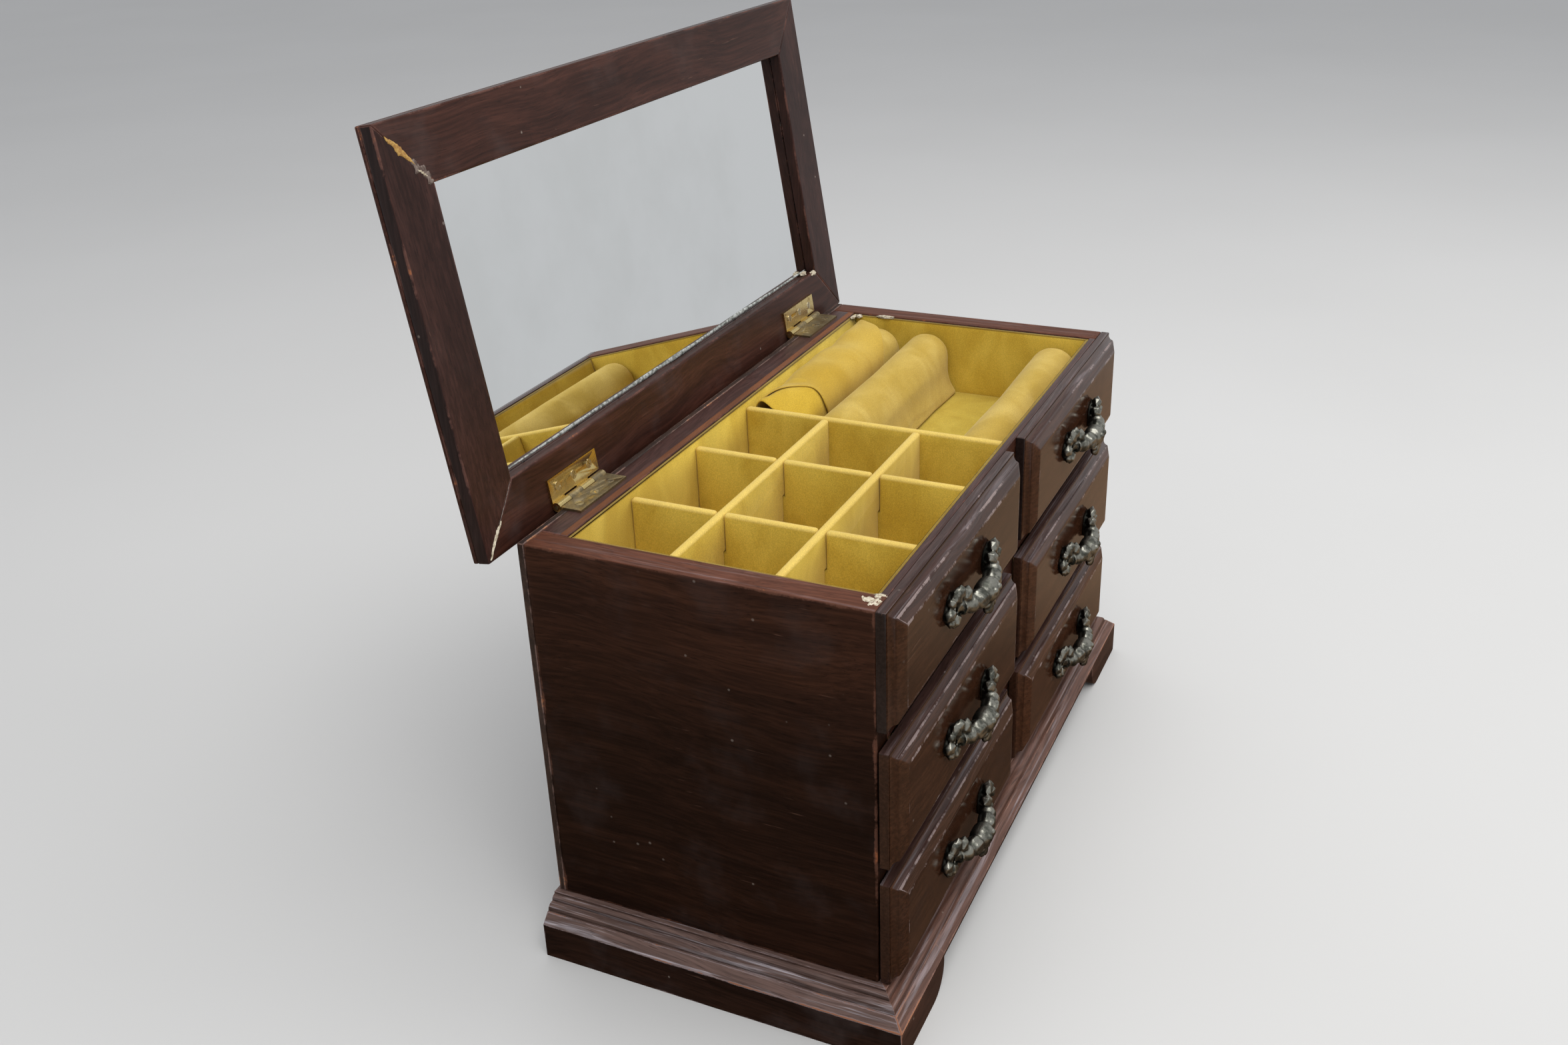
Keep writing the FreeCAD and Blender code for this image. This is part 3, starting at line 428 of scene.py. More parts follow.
def box_mesh(low, high):
    bm = bmesh.new()
    place = Matrix.Translation((low + high) / 2) @ Matrix.Diagonal((*(high - low), 1))
    bmesh.ops.create_cube(bm, size=1.0, matrix=place)
    return bm


def verts_of(geometry):
    return [item for item in geometry if isinstance(item, bmesh.types.BMVert)]


def mesh_of(name, bm):
    mesh = bpy.data.meshes.new(name)
    bm.to_mesh(mesh)
    bm.free()
    return mesh


def placed(name, data):
    """A new object in the scene."""
    made = bpy.data.objects.new(name, data)
    bpy.context.scene.collection.objects.link(made)
    return made


def copy_of(name):
    """A node's shape with its loose triangles joined into whole faces."""
    bm = bmesh.new()
    bm.from_mesh(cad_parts[name].data)
    bmesh.ops.remove_doubles(bm, verts=bm.verts, dist=1e-6)
    bmesh.ops.dissolve_limit(bm, angle_limit=math.radians(0.5), verts=bm.verts, edges=bm.edges)
    return bm


def prism(bm, outline, depth):
    """A flat outline drawn by its corners and pulled along depth."""
    face = bm.faces.new([bm.verts.new(corner) for corner in outline])
    pulled = bmesh.ops.extrude_face_region(bm, geom=[face])["geom"]
    bmesh.ops.translate(bm, verts=verts_of(pulled), vec=depth)
    bmesh.ops.recalc_face_normals(bm, faces=bm.faces)


def round_edges(bm, edges, radius, segments):
    return bmesh.ops.bevel(
        bm, geom=edges, offset=radius, offset_type="OFFSET", affect="EDGES", segments=segments, profile=0.5,
        material=-1, clamp_overlap=True,
    )["faces"]


def soften(bm, width, segments=2, sharp=30.0, ring=1.6 * MM):
    """Rounds the outer arrises, and marks them and a band beside them as open to wear."""
    limit = math.radians(sharp)
    wear = bm.loops.layers.float.new("wear")
    edges = []
    for edge in bm.edges:
        if len(edge.link_faces) == 2 and edge.is_convex and edge.calc_face_angle() > limit:
            edges.append(edge)
    rounded = set(round_edges(bm, edges, width, segments))
    touched = set()
    for face in rounded:
        touched.update(face.verts)
        for loop in face.loops:
            loop[wear] = 1.0
    for face in [face for face in bm.faces if face not in rounded and len(face.verts) == 4]:
        shortest = min(edge.calc_length() for edge in face.edges)
        if shortest < NARROWEST_BAND:
            continue
        inset = min(ring, 0.3 * shortest)
        band = bmesh.ops.inset_individual(bm, faces=[face], thickness=inset, use_even_offset=True)
        for strip in band["faces"]:
            for loop in strip.loops:
                loop[wear] = 1.0 if loop.vert in touched else 0.0
        for loop in face.loops:
            loop[wear] = 0.0
    # Painted light: each face's upward share, which gives it the lighter top colour of the stains
    top = bm.loops.layers.float.new("top")
    bm.normal_update()
    for face in bm.faces:
        for loop in face.loops:
            loop[top] = smoothed(face.normal.z, 0.2, 0.8)


def mark_ends(bm, chosen, amount):
    """Marks the chosen faces for the near-black colour, used for darkened ends and for painted shade."""
    ends = bm.loops.layers.float.new("ends")
    for face in bm.faces:
        dark = amount if chosen(face) else 0.0
        for loop in face.loops:
            loop[ends] = dark


def add_wear(bm, spot, reach, amount):
    """More wear near one spot, such as a knocked corner."""
    wear = bm.loops.layers.float["wear"]
    for face in bm.faces:
        for loop in face.loops:
            near = 1 - (loop.vert.co - spot).length / reach
            if near > 0 and loop[wear] > 0.5:
                loop[wear] += amount * near


def piece(name, bm, body, material, replaced=(), smooth=50.0):
    mesh = mesh_of(name, bm)
    for face in mesh.polygons:
        face.use_smooth = True
    mesh.set_sharp_from_angle(angle=math.radians(smooth))
    mesh.materials.append(material)
    made = placed(name, mesh)
    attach(made, body)
    if replaced:
        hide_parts(*replaced)
    return made


def finished_mesh(made):
    """A copy of an object's mesh with its modifiers worked in."""
    graph = bpy.context.evaluated_depsgraph_get()
    return bpy.data.meshes.new_from_object(made.evaluated_get(graph))


def evened(name, bm, voxel):
    """The shapes of a bmesh fused into one skin of even faces, as an object."""
    made = placed(name, mesh_of(name, bm))
    even = made.modifiers.new("even", "REMESH")
    even.mode = "VOXEL"
    even.voxel_size = voxel
    made.data = finished_mesh(made)
    made.modifiers.clear()
    return made


def add_thickness(made, name, thickness):
    thick = made.modifiers.new(name, "SOLIDIFY")
    thick.thickness = thickness
    thick.offset = -1.0


def add_rounding(made):
    rounder = made.modifiers.new("rounder", "SUBSURF")
    rounder.levels = 1
    rounder.render_levels = 1


def worn_board(node_name, body, material, width=0.5 * MM, plain_box=False):
    bm = box_mesh(*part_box(node_name)) if plain_box else copy_of(node_name)
    soften(bm, width)
    piece(node_name + "_board", bm, body, material, [node_name])


# The carcass

def carcass():
    for side in SIDES:
        worn_board(side + "_side_panel", "case", SIDE_WOOD, 0.6 * MM)
    worn_board("back_panel", "case", BACK_WOOD, 0.3 * MM)
    worn_board("tray_front_wall", "case", RAIL_WOOD, 0.25 * MM)
    worn_board("back_top_rail", "case", RAIL_WOOD, 0.4 * MM, plain_box=True)
    worn_board("middle_shelf", "case", RAIL_WOOD, 0.4 * MM)
    worn_board("centre_stiles", "case", RAIL_WOOD, 0.3 * MM)
    for name in ("case_bottom_board", "tray_bottom_board", "centre_partitions"):
        worn_board(name, "case", HIDDEN_WOOD, 0.3 * MM)


# The plinth

PLINTH_THICK, FACE_HEIGHT, ARCH = 16.0, 15.2, 13.8
SLOPE_TOP, BEAD_TOP, CROWN_TOP, BASE_TOP = 18.8, 21.2, 23.2, 24.1
SLOPE_IN, BEAD_IN, CROWN_IN, BASE_IN = 3.7, 4.4, 7.6, 9.6
BEAD_ROUND, CROWN_ROUND = 2.3, 1.9
FOOT, FOOT_ROUND = 44.5, 11.4


def moulded_rail(start, end, mitre_start, mitre_end, bottom):
    """A rail along X with its moulded face towards -Y: a slope, a bead and a crown above a plain face."""
    bm = bmesh.new()
    section = [
        (0, bottom), (0, FACE_HEIGHT), (SLOPE_IN, SLOPE_TOP), (BEAD_IN, SLOPE_TOP), (BEAD_IN, BEAD_TOP),
        (CROWN_IN, BEAD_TOP), (CROWN_IN, CROWN_TOP), (BASE_IN, CROWN_TOP), (BASE_IN, BASE_TOP),
        (PLINTH_THICK, BASE_TOP), (PLINTH_THICK, bottom),
    ]
    prism(bm, [(start, inward, height) for inward, height in section], (end - start, 0, 0))
    for inward, height, radius in ((BEAD_IN, BEAD_TOP, BEAD_ROUND), (CROWN_IN, CROWN_TOP, CROWN_ROUND)):
        arris = Vector((inward, height))
        edges = [edge for edge in bm.edges if all((vert.co.yz - arris).length < 0.01 for vert in edge.verts)]
        round_edges(bm, edges, radius, 5)
    if bottom > 0:
        add_feet(bm, start, end)
    for vert in bm.verts:
        if mitre_start and vert.co.x < start + 0.01:
            vert.co.x += vert.co.y
        elif mitre_end and vert.co.x > end - 0.01:
            vert.co.x -= vert.co.y
    return bm


def add_feet(bm, start, end):
    """Feet drawn down from the rail's two ends, each with a rounded inner edge."""
    for cut in (start + FOOT, end - FOOT):
        everything = bm.verts[:] + bm.edges[:] + bm.faces[:]
        bmesh.ops.bisect_plane(bm, geom=everything, plane_co=(cut, 0, 0), plane_no=(1, 0, 0))
    feet = []
    for face in bm.faces:
        centre = face.calc_center_median()
        under = face.normal.z < -0.9 and centre.z < ARCH + 0.1
        if under and not start + FOOT < centre.x < end - FOOT:
            feet.append(face)
    drawn = bmesh.ops.extrude_face_region(bm, geom=feet)["geom"]
    bmesh.ops.translate(bm, verts=verts_of(drawn), vec=(0, 0, -ARCH))
    bmesh.ops.delete(bm, geom=feet, context="FACES_ONLY")
    inner = []
    for edge in bm.edges:
        low = all(vert.co.z < 0.01 for vert in edge.verts)
        inside = all(start + 1 < vert.co.x < end - 1 for vert in edge.verts)
        across = abs(edge.verts[0].co.x - edge.verts[1].co.x) < 0.01
        if low and inside and across:
            inner.append(edge)
    round_edges(bm, inner, FOOT_ROUND, 8)


def plinth():
    low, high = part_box("plinth_front_rail")
    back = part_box("plinth_left_rail")[1].y / MM
    half, front = high.x / MM, low.y / MM
    turns = {"front": 0.0, "left": math.radians(-90), "right": math.radians(90)}
    spots = {"front": (0, front, 0), "left": (-half, 0, 0), "right": (half, 0, 0)}
    rails = {
        "front": moulded_rail(-half, half, True, True, ARCH),
        "left": moulded_rail(-back, -front, False, True, 0.0),
        "right": moulded_rail(front, back, True, False, 0.0),
    }
    for place, bm in rails.items():
        put = TO_METRES @ Matrix.Translation(spots[place]) @ Matrix.Rotation(turns[place], 4, "Z")
        bmesh.ops.transform(bm, matrix=put, verts=bm.verts)
        bmesh.ops.recalc_face_normals(bm, faces=bm.faces)
        soften(bm, 0.3 * MM, ring=1.0 * MM)
        # Painted light: the moulding above the plain face gets at least some of the lighter top colour
        top = bm.loops.layers.float["top"]
        for loop in [loop for face in bm.faces for loop in face.loops]:
            if loop.vert.co.z > (FACE_HEIGHT + 0.4) * MM:
                loop[top] = max(loop[top], 0.4)
        for x in (-half, half):
            add_wear(bm, Vector((x, front, FACE_HEIGHT)) * MM, 9 * MM, 0.8)
        node_name = "plinth_%s_rail" % place
        material = PLINTH_WOOD_X if place == "front" else PLINTH_WOOD_Y
        piece(node_name + "_moulded", bm, "case", material, [node_name], smooth=38.0)


# Moulded fronts

EDGE, COVE, SLOPE_WIDTH, SLOPE_RISE = 3.7 * MM, 2.6 * MM, 4.2 * MM, 2.0 * MM
INSET = COVE + SLOPE_WIDTH + 0.5 * MM
COVE_STEPS = 8


def moulded_front(node_name, body):
    """A flat edge, a hollow cove, and a slope up to the raised field with its crisp arris."""
    low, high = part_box(node_name)
    shoulder = high.y - EDGE
    bm = box_mesh(Vector((low.x, shoulder, low.z)), high)
    face = min(bm.faces, key=lambda item: item.calc_center_median().y)
    done = 0.0
    for step in range(1, COVE_STEPS + 1):
        turn = math.radians(90) * step / COVE_STEPS
        inset = COVE * math.sin(turn)
        bmesh.ops.inset_region(bm, faces=[face], thickness=inset - done, use_even_offset=True)
        for vert in face.verts:
            vert.co.y = shoulder - COVE * (1 - math.cos(turn))
        done = inset
    bmesh.ops.inset_region(bm, faces=[face], thickness=SLOPE_WIDTH, use_even_offset=True)
    bmesh.ops.translate(bm, verts=face.verts, vec=(0, -SLOPE_RISE, 0))
    soften(bm, 0.4 * MM, sharp=18.0, ring=1.0 * MM)
    add_wear(bm, Vector((low.x, shoulder, high.z)), 9 * MM, 0.3)
    add_wear(bm, Vector((high.x, shoulder, high.z)), 6 * MM, 0.6)
    wear = bm.loops.layers.float["wear"]
    amount = 1.0 if node_name.startswith("false") else 0.35
    mark_ends(bm, lambda face: abs(face.normal.x) > 0.9 and face.calc_center_median().y > shoulder, amount)
    # Little is rubbed off the flat edge and the lower moulding, and nothing off the end ones
    for face in bm.faces:
        centre = face.calc_center_median()
        end = min(centre.x - low.x, high.x - centre.x)
        share = 0.5 if centre.y > shoulder - 0.3 * MM else 1.0
        if end < INSET and end < high.z - centre.z + 0.6 * MM:
            share = 0.0
        elif centre.z < low.z + INSET:
            share *= 0.5
        for loop in face.loops:
            loop[wear] *= share
    material = FAR_FRONT_WOOD if "right" in node_name else FRONT_WOOD
    piece(node_name + "_moulded", bm, body, material, [node_name], smooth=22.0)


def fronts():
    for side in SIDES:
        moulded_front("false_front_" + side, "case")
    for drawer in DRAWERS:
        moulded_front(drawer + "_front", drawer)
        worn_board(drawer + "_box", drawer, DRAWER_WOOD, 0.35 * MM)
        worn_board(drawer + "_bottom", drawer, DRAWER_WOOD, 0.3 * MM)
        soft_board(drawer + "_lining", drawer, 0.5 * MM, LINING_VELVET)


# The lined tray

def soft_board(node_name, body, width, material):
    """A velvet covered board, rounded along its edges."""
    bm = copy_of(node_name)
    soften(bm, width, segments=3, ring=3.0 * MM)
    piece(node_name + "_velvet", bm, body, material, [node_name])


def tray():
    soft_board("tray_wall_linings", "case", 0.25 * MM, WALL_VELVET)
    soft_board("tray_floor_lining", "case", 0.3 * MM, FLOOR_VELVET)
    dividers = ["long_divider_front", "long_divider_back"]
    dividers += ["cross_divider_" + place for place in ("left", "middle", "right")]
    for name in dividers:
        soft_board(name, "case", 1.2 * MM, DIVIDER_VELVET)


# The lid

LID_HALF, FRAME_WIDTH = 154.2, 22.8
LID_BACK, LID_FRONT = 3.5, -145.5
LID_FACE, FRAME_TOP = 2.0, 7.0


def lid():
    left, right = -LID_HALF, LID_HALF
    inner_left, inner_right = left + FRAME_WIDTH, right - FRAME_WIDTH
    inner_back, inner_front = LID_BACK - FRAME_WIDTH, LID_FRONT + FRAME_WIDTH
    corners = {
        "front_left": (left, LID_FRONT), "front_right": (right, LID_FRONT),
        "back_left": (left, LID_BACK), "back_right": (right, LID_BACK),
    }
    inner = {
        "front_left": (inner_left, inner_front), "front_right": (inner_right, inner_front),
        "back_left": (inner_left, inner_back), "back_right": (inner_right, inner_back),
    }
    members = {
        "lid_front_rail": ("front_left", "front_right"), "lid_back_rail": ("back_right", "back_left"),
        "lid_left_stile": ("back_left", "front_left"), "lid_right_stile": ("front_right", "back_right"),
    }
    for name, (first, last) in members.items():
        outline = [corners[first], corners[last], inner[last], inner[first]]
        bm = bmesh.new()
        prism(bm, [(x, y, LID_FACE) for x, y in outline], (0, 0, FRAME_TOP - LID_FACE))
        bmesh.ops.transform(bm, matrix=LID_OPEN @ TO_METRES, verts=bm.verts)
        soften(bm, 0.5 * MM, ring=0.8 * MM)
        # Painted shade: the stiles' outer side faces take the near-black colour
        mark_ends(bm, lambda face: abs(face.calc_center_median().x) > (LID_HALF - 0.2) * MM, 0.75)
        material = LID_WOOD_X if name.endswith("rail") else LID_WOOD_Z
        piece(name + "_framing", bm, "lid", material, [name])
    worn_board("lid_top_board", "lid", LID_WOOD_X, 0.5 * MM)
    glass = copy_of("mirror")
    edge = glass.verts.layers.float.new("edge")
    low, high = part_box("mirror")
    for vert in glass.verts:
        beside_hinges = vert.co.z < low.z + 3 * MM
        vert[edge] = 1.0 if beside_hinges or vert.co.x > high.x - 1 * MM else 0.4
    for face in list(glass.faces):
        if face.calc_area() > 1e-3:
            bmesh.ops.inset_individual(glass, faces=[face], thickness=8.5 * MM, use_even_offset=True)
            for vert in face.verts:
                vert[edge] = 0.0
    piece("mirror_glass", glass, "lid", MIRROR, ["mirror"], smooth=20.0)


# Hinges

HINGE_STARTS = (-113.5, 89.6)
SCREW_STEPS = (5.4, 16.15, 26.9)
SCREW_ROW = 6.4
SCREW_HEAD, SLOT_HALF, SLOT_DEPTH = 1.7, 0.24, 0.4
SCREW_RINGS = ((1.75, -0.12), (0.9, -0.9), (0.9, -3.5))


def add_screw(bm, place):
    """A countersunk screw head with a slot, its face up at the origin, on a short shank."""
    before = set(bm.verts)
    bmesh.ops.create_circle(bm, cap_ends=True, radius=SCREW_HEAD, segments=28)
    verts = [vert for vert in bm.verts if vert not in before]
    geometry = verts + list({edge for vert in verts for edge in vert.link_edges})
    geometry += list({face for vert in verts for face in vert.link_faces})
    for side in (-SLOT_HALF, SLOT_HALF):
        cut = bmesh.ops.bisect_plane(bm, geom=geometry, plane_co=(0, side, 0), plane_no=(0, 1, 0))
        geometry = cut["geom"]
    faces = [item for item in geometry if isinstance(item, bmesh.types.BMFace)]
    slot = [face for face in faces if abs(face.calc_center_median().y) < 0.1]
    bmesh.ops.inset_region(bm, faces=slot, thickness=0.02, depth=-SLOT_DEPTH)
    rim = [edge for edge in bm.edges if edge.is_boundary and edge.verts[0] not in before]
    for width, depth in SCREW_RINGS:
        drawn = bmesh.ops.extrude_edge_only(bm, edges=rim)["geom"]
        for vert in verts_of(drawn):
            flat = vert.co.xy.normalized() * width
            vert.co = (flat.x, flat.y, depth)
        rim = [item for item in drawn if isinstance(item, bmesh.types.BMEdge)]
        rim = [edge for edge in rim if edge.is_boundary]
    bmesh.ops.holes_fill(bm, edges=rim)
    made = [vert for vert in bm.verts if vert not in before]
    bmesh.ops.transform(bm, matrix=place, verts=made)


def mark_hollows(bm, level, spread=3):
    """Paints hollow where the surface dips below its neighbours."""
    hollow = bm.verts.layers.float.new("hollow")
    bm.normal_update()
    for vert in bm.verts:
        dip = 0.0
        for edge in vert.link_edges:
            towards = edge.other_vert(vert).co - vert.co
            dip += vert.normal.dot(towards) / max(towards.length, 1e-9)
        dip /= max(len(vert.link_edges), 1)
        vert[hollow] = max(0.0, min(1.0, dip / level))
    for step in range(spread):
        shares = []
        for vert in bm.verts:
            around = [edge.other_vert(vert)[hollow] for edge in vert.link_edges]
            shares.append(0.5 * vert[hollow] + 0.5 * sum(around) / max(len(around), 1))
        for vert, share in zip(bm.verts, shares):
            vert[hollow] = share


def hinges():
    for owner, material in (("case", DULL_BRASS), ("lid", BRIGHT_BRASS)):
        node_name = owner + "_hinge_leaves"
        bm = copy_of(node_name)
        piece(node_name + "_brass", bm, owner, material, [node_name], smooth=30.0)
    case_screws = bmesh.new()
    lid_screws = bmesh.new()
    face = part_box("case_hinge_screws")[1].z / MM
    upside_down = Matrix.Rotation(math.radians(180), 4, "X")
    for start in HINGE_STARTS:
        for index, step in enumerate(SCREW_STEPS):
            turn = Matrix.Rotation(0.7 + 1.3 * index + 0.01 * start, 4, "Z")
            spot = Matrix.Translation((start + step, PIN.y / MM - SCREW_ROW, face + 0.05))
            add_screw(case_screws, TO_METRES @ spot @ turn)
            spot = Matrix.Translation((start + step, -SCREW_ROW, LID_FACE - 1.0))
            add_screw(lid_screws, LID_OPEN @ TO_METRES @ spot @ upside_down @ turn)
    for owner, bm in (("case", case_screws), ("lid", lid_screws)):
        bmesh.ops.recalc_face_normals(bm, faces=bm.faces)
        node_name = owner + "_hinge_screws"
        piece(owner + "_slotted_screws", bm, owner, SCREW_METAL, [node_name], smooth=30.0)
    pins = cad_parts["hinge_pins"].data
    pins.materials.clear()
    pins.materials.append(DULL_BRASS)


# Pulls

POST_SPACING, POST_RADIUS, POST_LENGTH = 41.0, 1.2, 5.0
PULL_VOXEL = 0.3
BAIL_HALF_SPAN, BAIL_REACH, BAIL_STANDOFF = 17.0, 3.8, 3.2
BAIL_DROOP = math.radians(18)
BAIL_RADIUS = (BAIL_HALF_SPAN ** 2 + BAIL_REACH ** 2) / (2 * BAIL_REACH)
BAIL_SWEEP = math.asin(BAIL_HALF_SPAN / BAIL_RADIUS)
BAIL_SWELLS = ((1.0, 2.8), (0.90, 2.4), (0.74, 3.5), (0.62, 2.9), (0.52, 3.6), (0.36, 3.5), (0.27, 3.0),
               (0.14, 4.3), (0.0, 4.4))
FACING = Matrix.Rotation(math.radians(90), 4, "X")


def bail_point(share):
    turn = share * BAIL_SWEEP
    reach = BAIL_RADIUS * math.cos(turn) - (BAIL_RADIUS - BAIL_REACH)
    out = BAIL_STANDOFF + reach * math.cos(BAIL_DROOP)
    return Vector((BAIL_RADIUS * math.sin(turn), -out, -reach * math.sin(BAIL_DROOP)))


def swell(share):
    """The bail's radius: the swells joined by smooth steps."""
    for (outer, wide), (inner, narrow) in zip(BAIL_SWELLS, BAIL_SWELLS[1:]):
        if inner <= share <= outer:
            return narrow + (wide - narrow) * smoothed(share, inner, outer)
    return BAIL_SWELLS[0][1]


def add_bail(bm, stations=72, sides=24):
    rings = []
    for index in range(stations + 1):
        share = 2 * index / stations - 1
        step = bail_point(share + 0.01) - bail_point(share - 0.01)
        turn = step.to_track_quat("Z", "Y").to_matrix().to_4x4()
        place = Matrix.Translation(bail_point(share)) @ turn
        verts = bmesh.ops.create_circle(bm, segments=sides, radius=swell(abs(share)), matrix=place)["verts"]
        if 0.30 < abs(share) < 0.58:
            for order, vert in enumerate(verts):
                flute = 1 + 0.08 * math.cos(6 * math.tau * order / sides)
                vert.co = bail_point(share) + (vert.co - bail_point(share)) * flute
        rings.append(list({edge for vert in verts for edge in vert.link_edges}))
    for first, second in zip(rings, rings[1:]):
        bmesh.ops.bridge_loops(bm, edges=first + second)
    bmesh.ops.holes_fill(bm, edges=rings[0] + rings[-1])


def add_petal(bm, spot, size, turn=0.0, cut=3, radius=1.0):
    """A lobe turned in the plane of the pull's face: an egg, or with a low cut a faceted one."""
    place = Matrix.Translation(spot) @ Matrix.Rotation(turn, 4, "Y") @ Matrix.Diagonal((*size, 1))
    bmesh.ops.create_icosphere(bm, subdivisions=cut, radius=radius, matrix=place)


def add_leaf(bm, side):
    """A leaf of rounded lobes about a deep hollow, on a thin plate, its tip away from the bail."""
    centre = Vector((side * (POST_SPACING / 2 - 0.8), 0, 0.6))
    made = bmesh.ops.create_circle(bm, cap_ends=True, segments=60, radius=1.0, matrix=FACING)
    for vert in made["verts"]:
        turn = math.atan2(vert.co.z, vert.co.x)
        along, across = math.cos(turn), math.sin(turn)
        lobe = 1 + 0.07 * math.cos(5 * turn)
        length = 7.6 if along > 0 else 5.6
        height = 6.4 * across * (1 - 0.34 * max(along, 0)) * lobe
        vert.co = centre + Vector((side * length * along * (0.94 + 0.06 * lobe), 0, height))
    face = made["verts"][0].link_faces[0]
    pulled = bmesh.ops.extrude_face_region(bm, geom=[face])["geom"]
    bmesh.ops.translate(bm, verts=verts_of(pulled), vec=(0, -0.9, 0))
    lobes = (
        ((0.2, -2.4, 4.6), (2.9, 2.0, 3.7)), ((0.4, -2.1, -4.3), (2.6, 2.0, 2.9)),
        ((5.6, -2.0, 0.3), (2.9, 2.0, 2.3)), ((4.2, -2.0, 3.9), (1.7, 1.7, 2.0)),
        ((4.1, -1.8, -3.5), (1.7, 1.6, 1.9)), ((1.5, -1.4, 0.2), (1.2, 1.3, 1.2)),
        ((-3.2, -2.6, 0.0), (2.7, 2.1, 2.5)), ((-3.0, -2.0, 3.4), (1.5, 1.4, 1.5)),
        ((-3.0, -1.8, -3.3), (1.5, 1.4, 1.5)), ((-5.4, -4.0, 3.4), (3.0, 2.2, 2.5)),
        ((-1.6, -3.2, 5.8), (2.4, 1.8, 2.6)),
    )
    for (along, out, up), size in lobes:
        spot = centre + Vector((side * along, out, up))
        add_petal(bm, spot, size, side * 0.15 * up, cut=1, radius=1.16)


def add_shell(bm):
    """A ribbed shell hanging from the middle of the bail, under two beads."""
    middle = bail_point(0.0)
    root = middle + Vector((0, -1.0, -2.0))
    for step in range(-2, 3):
        turn = math.radians(33 * step)
        length = 3.5 - 0.35 * abs(step)
        hang = Vector((math.sin(turn), 0, -math.cos(turn)))
        add_petal(bm, root + hang * (length + 0.4), (1.45, 1.75, length), -turn)
    for side in (-1, 1):
        add_petal(bm, middle + Vector((side * 1.9, -3.6, 1.2)), (1.4, 1.3, 1.4))
        add_petal(bm, middle + Vector((side * 5.0, -0.9, -1.7)), (1.9, 1.7, 1.3), side * 0.5)


def pull_casting():
    """One casting, its shapes fused, its hollows marked, and its back and the parts close to the board marked
    dark as painted shade, centred on the face that it is fixed to.
    """
    bm = bmesh.new()
    add_bail(bm)
    for side in (-1, 1):
        add_leaf(bm, side)
        post = Matrix.Translation((side * POST_SPACING / 2, 2.4, 0)) @ FACING
        bmesh.ops.create_cone(bm, cap_ends=True, segments=20, radius1=POST_RADIUS, radius2=POST_RADIUS,
                              depth=POST_LENGTH, matrix=post)
    add_shell(bm)
    bmesh.ops.recalc_face_normals(bm, faces=bm.faces)
    pattern = evened("pull_pattern", bm, PULL_VOXEL)
    fused = pattern.data
    bpy.data.objects.remove(pattern)
    bm = bmesh.new()
    bm.from_mesh(fused)
    for step in range(2):
        bmesh.ops.smooth_vert(bm, verts=bm.verts, factor=0.5,
                              use_axis_x=True, use_axis_y=True, use_axis_z=True)
    mark_hollows(bm, 0.12)
    hollow = bm.verts.layers.float["hollow"]
    # Painted shade: the back of the casting and the parts near the board are darkened along with the hollows
    for vert in bm.verts:
        painted_back_shade = smoothed(vert.normal.y, 0.0, 0.5)
        deep = smoothed(vert.co.y, -2.5, -1.1)
        vert[hollow] = max(vert[hollow], 0.9 * painted_back_shade, 0.85 * deep)
    bmesh.ops.scale(bm, vec=(MM, MM, MM), verts=bm.verts)
    bm.to_mesh(fused)
    bm.free()
    return fused


def pulls():
    casting = pull_casting()
    places = [("false_front_pull_" + side, "case", "false_front_" + side) for side in SIDES]
    places += [(drawer + "_pull", drawer, drawer + "_front") for drawer in DRAWERS]
    for name, body, front in places:
        low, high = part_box(front)
        bm = bmesh.new()
        bm.from_mesh(casting)
        bmesh.ops.translate(bm, verts=bm.verts, vec=((low.x + high.x) / 2, low.y, (low.z + high.z) / 2))
        piece(name + "_casting", bm, body, CAST_METAL, [name], smooth=ALL_SMOOTH)


# Padded rolls

ROLL_HEIGHT, ROLL_VOXEL, ROLL_PRESSURE, ROLL_SWELL = 29.5, 1.6 * MM, 4.0, 0.9 * MM
SWELL_FRAMES = 20
SPREAD_WIDTH, SPREAD_HEIGHT, SPREAD = 8, 13, 5.5
SUNK_SHARE, SUNK_START, SUNK_LENGTH = 0.4, 40, 26


def roll_form(low, high):
    """A long pad, flat below and round on top, drawn a little small so that it can swell."""
    half, top = (high.y - low.y) / 2 - 0.8, high.z - low.z - 0.8
    corners = [(-half, 0), (half, 0), (half, top), (-half, top)]
    bm = bmesh.new()
    prism(bm, [(low.x + 0.6, y, z) for y, z in corners], (high.x - low.x - 1.2, 0, 0))
    upper = [edge for edge in bm.edges if all(vert.co.z > top - 0.1 for vert in edge.verts)]
    long_edges = [edge for edge in upper if abs(edge.verts[0].co.x - edge.verts[1].co.x) > 1]
    round_edges(bm, long_edges, half * 0.96, 8)
    ends = []
    for edge in bm.edges:
        flat_end = any(abs(face.normal.x) > 0.9 for face in edge.link_faces)
        if flat_end and max(vert.co.z for vert in edge.verts) > 1:
            ends.append(edge)
    round_edges(bm, ends, 2.6, 4)
    for vert in bm.verts:
        vert.co.y += (low.y + high.y) / 2
        vert.co.z += low.z + 0.3
    bmesh.ops.scale(bm, vec=(MM, MM, MM), verts=bm.verts)
    return bm


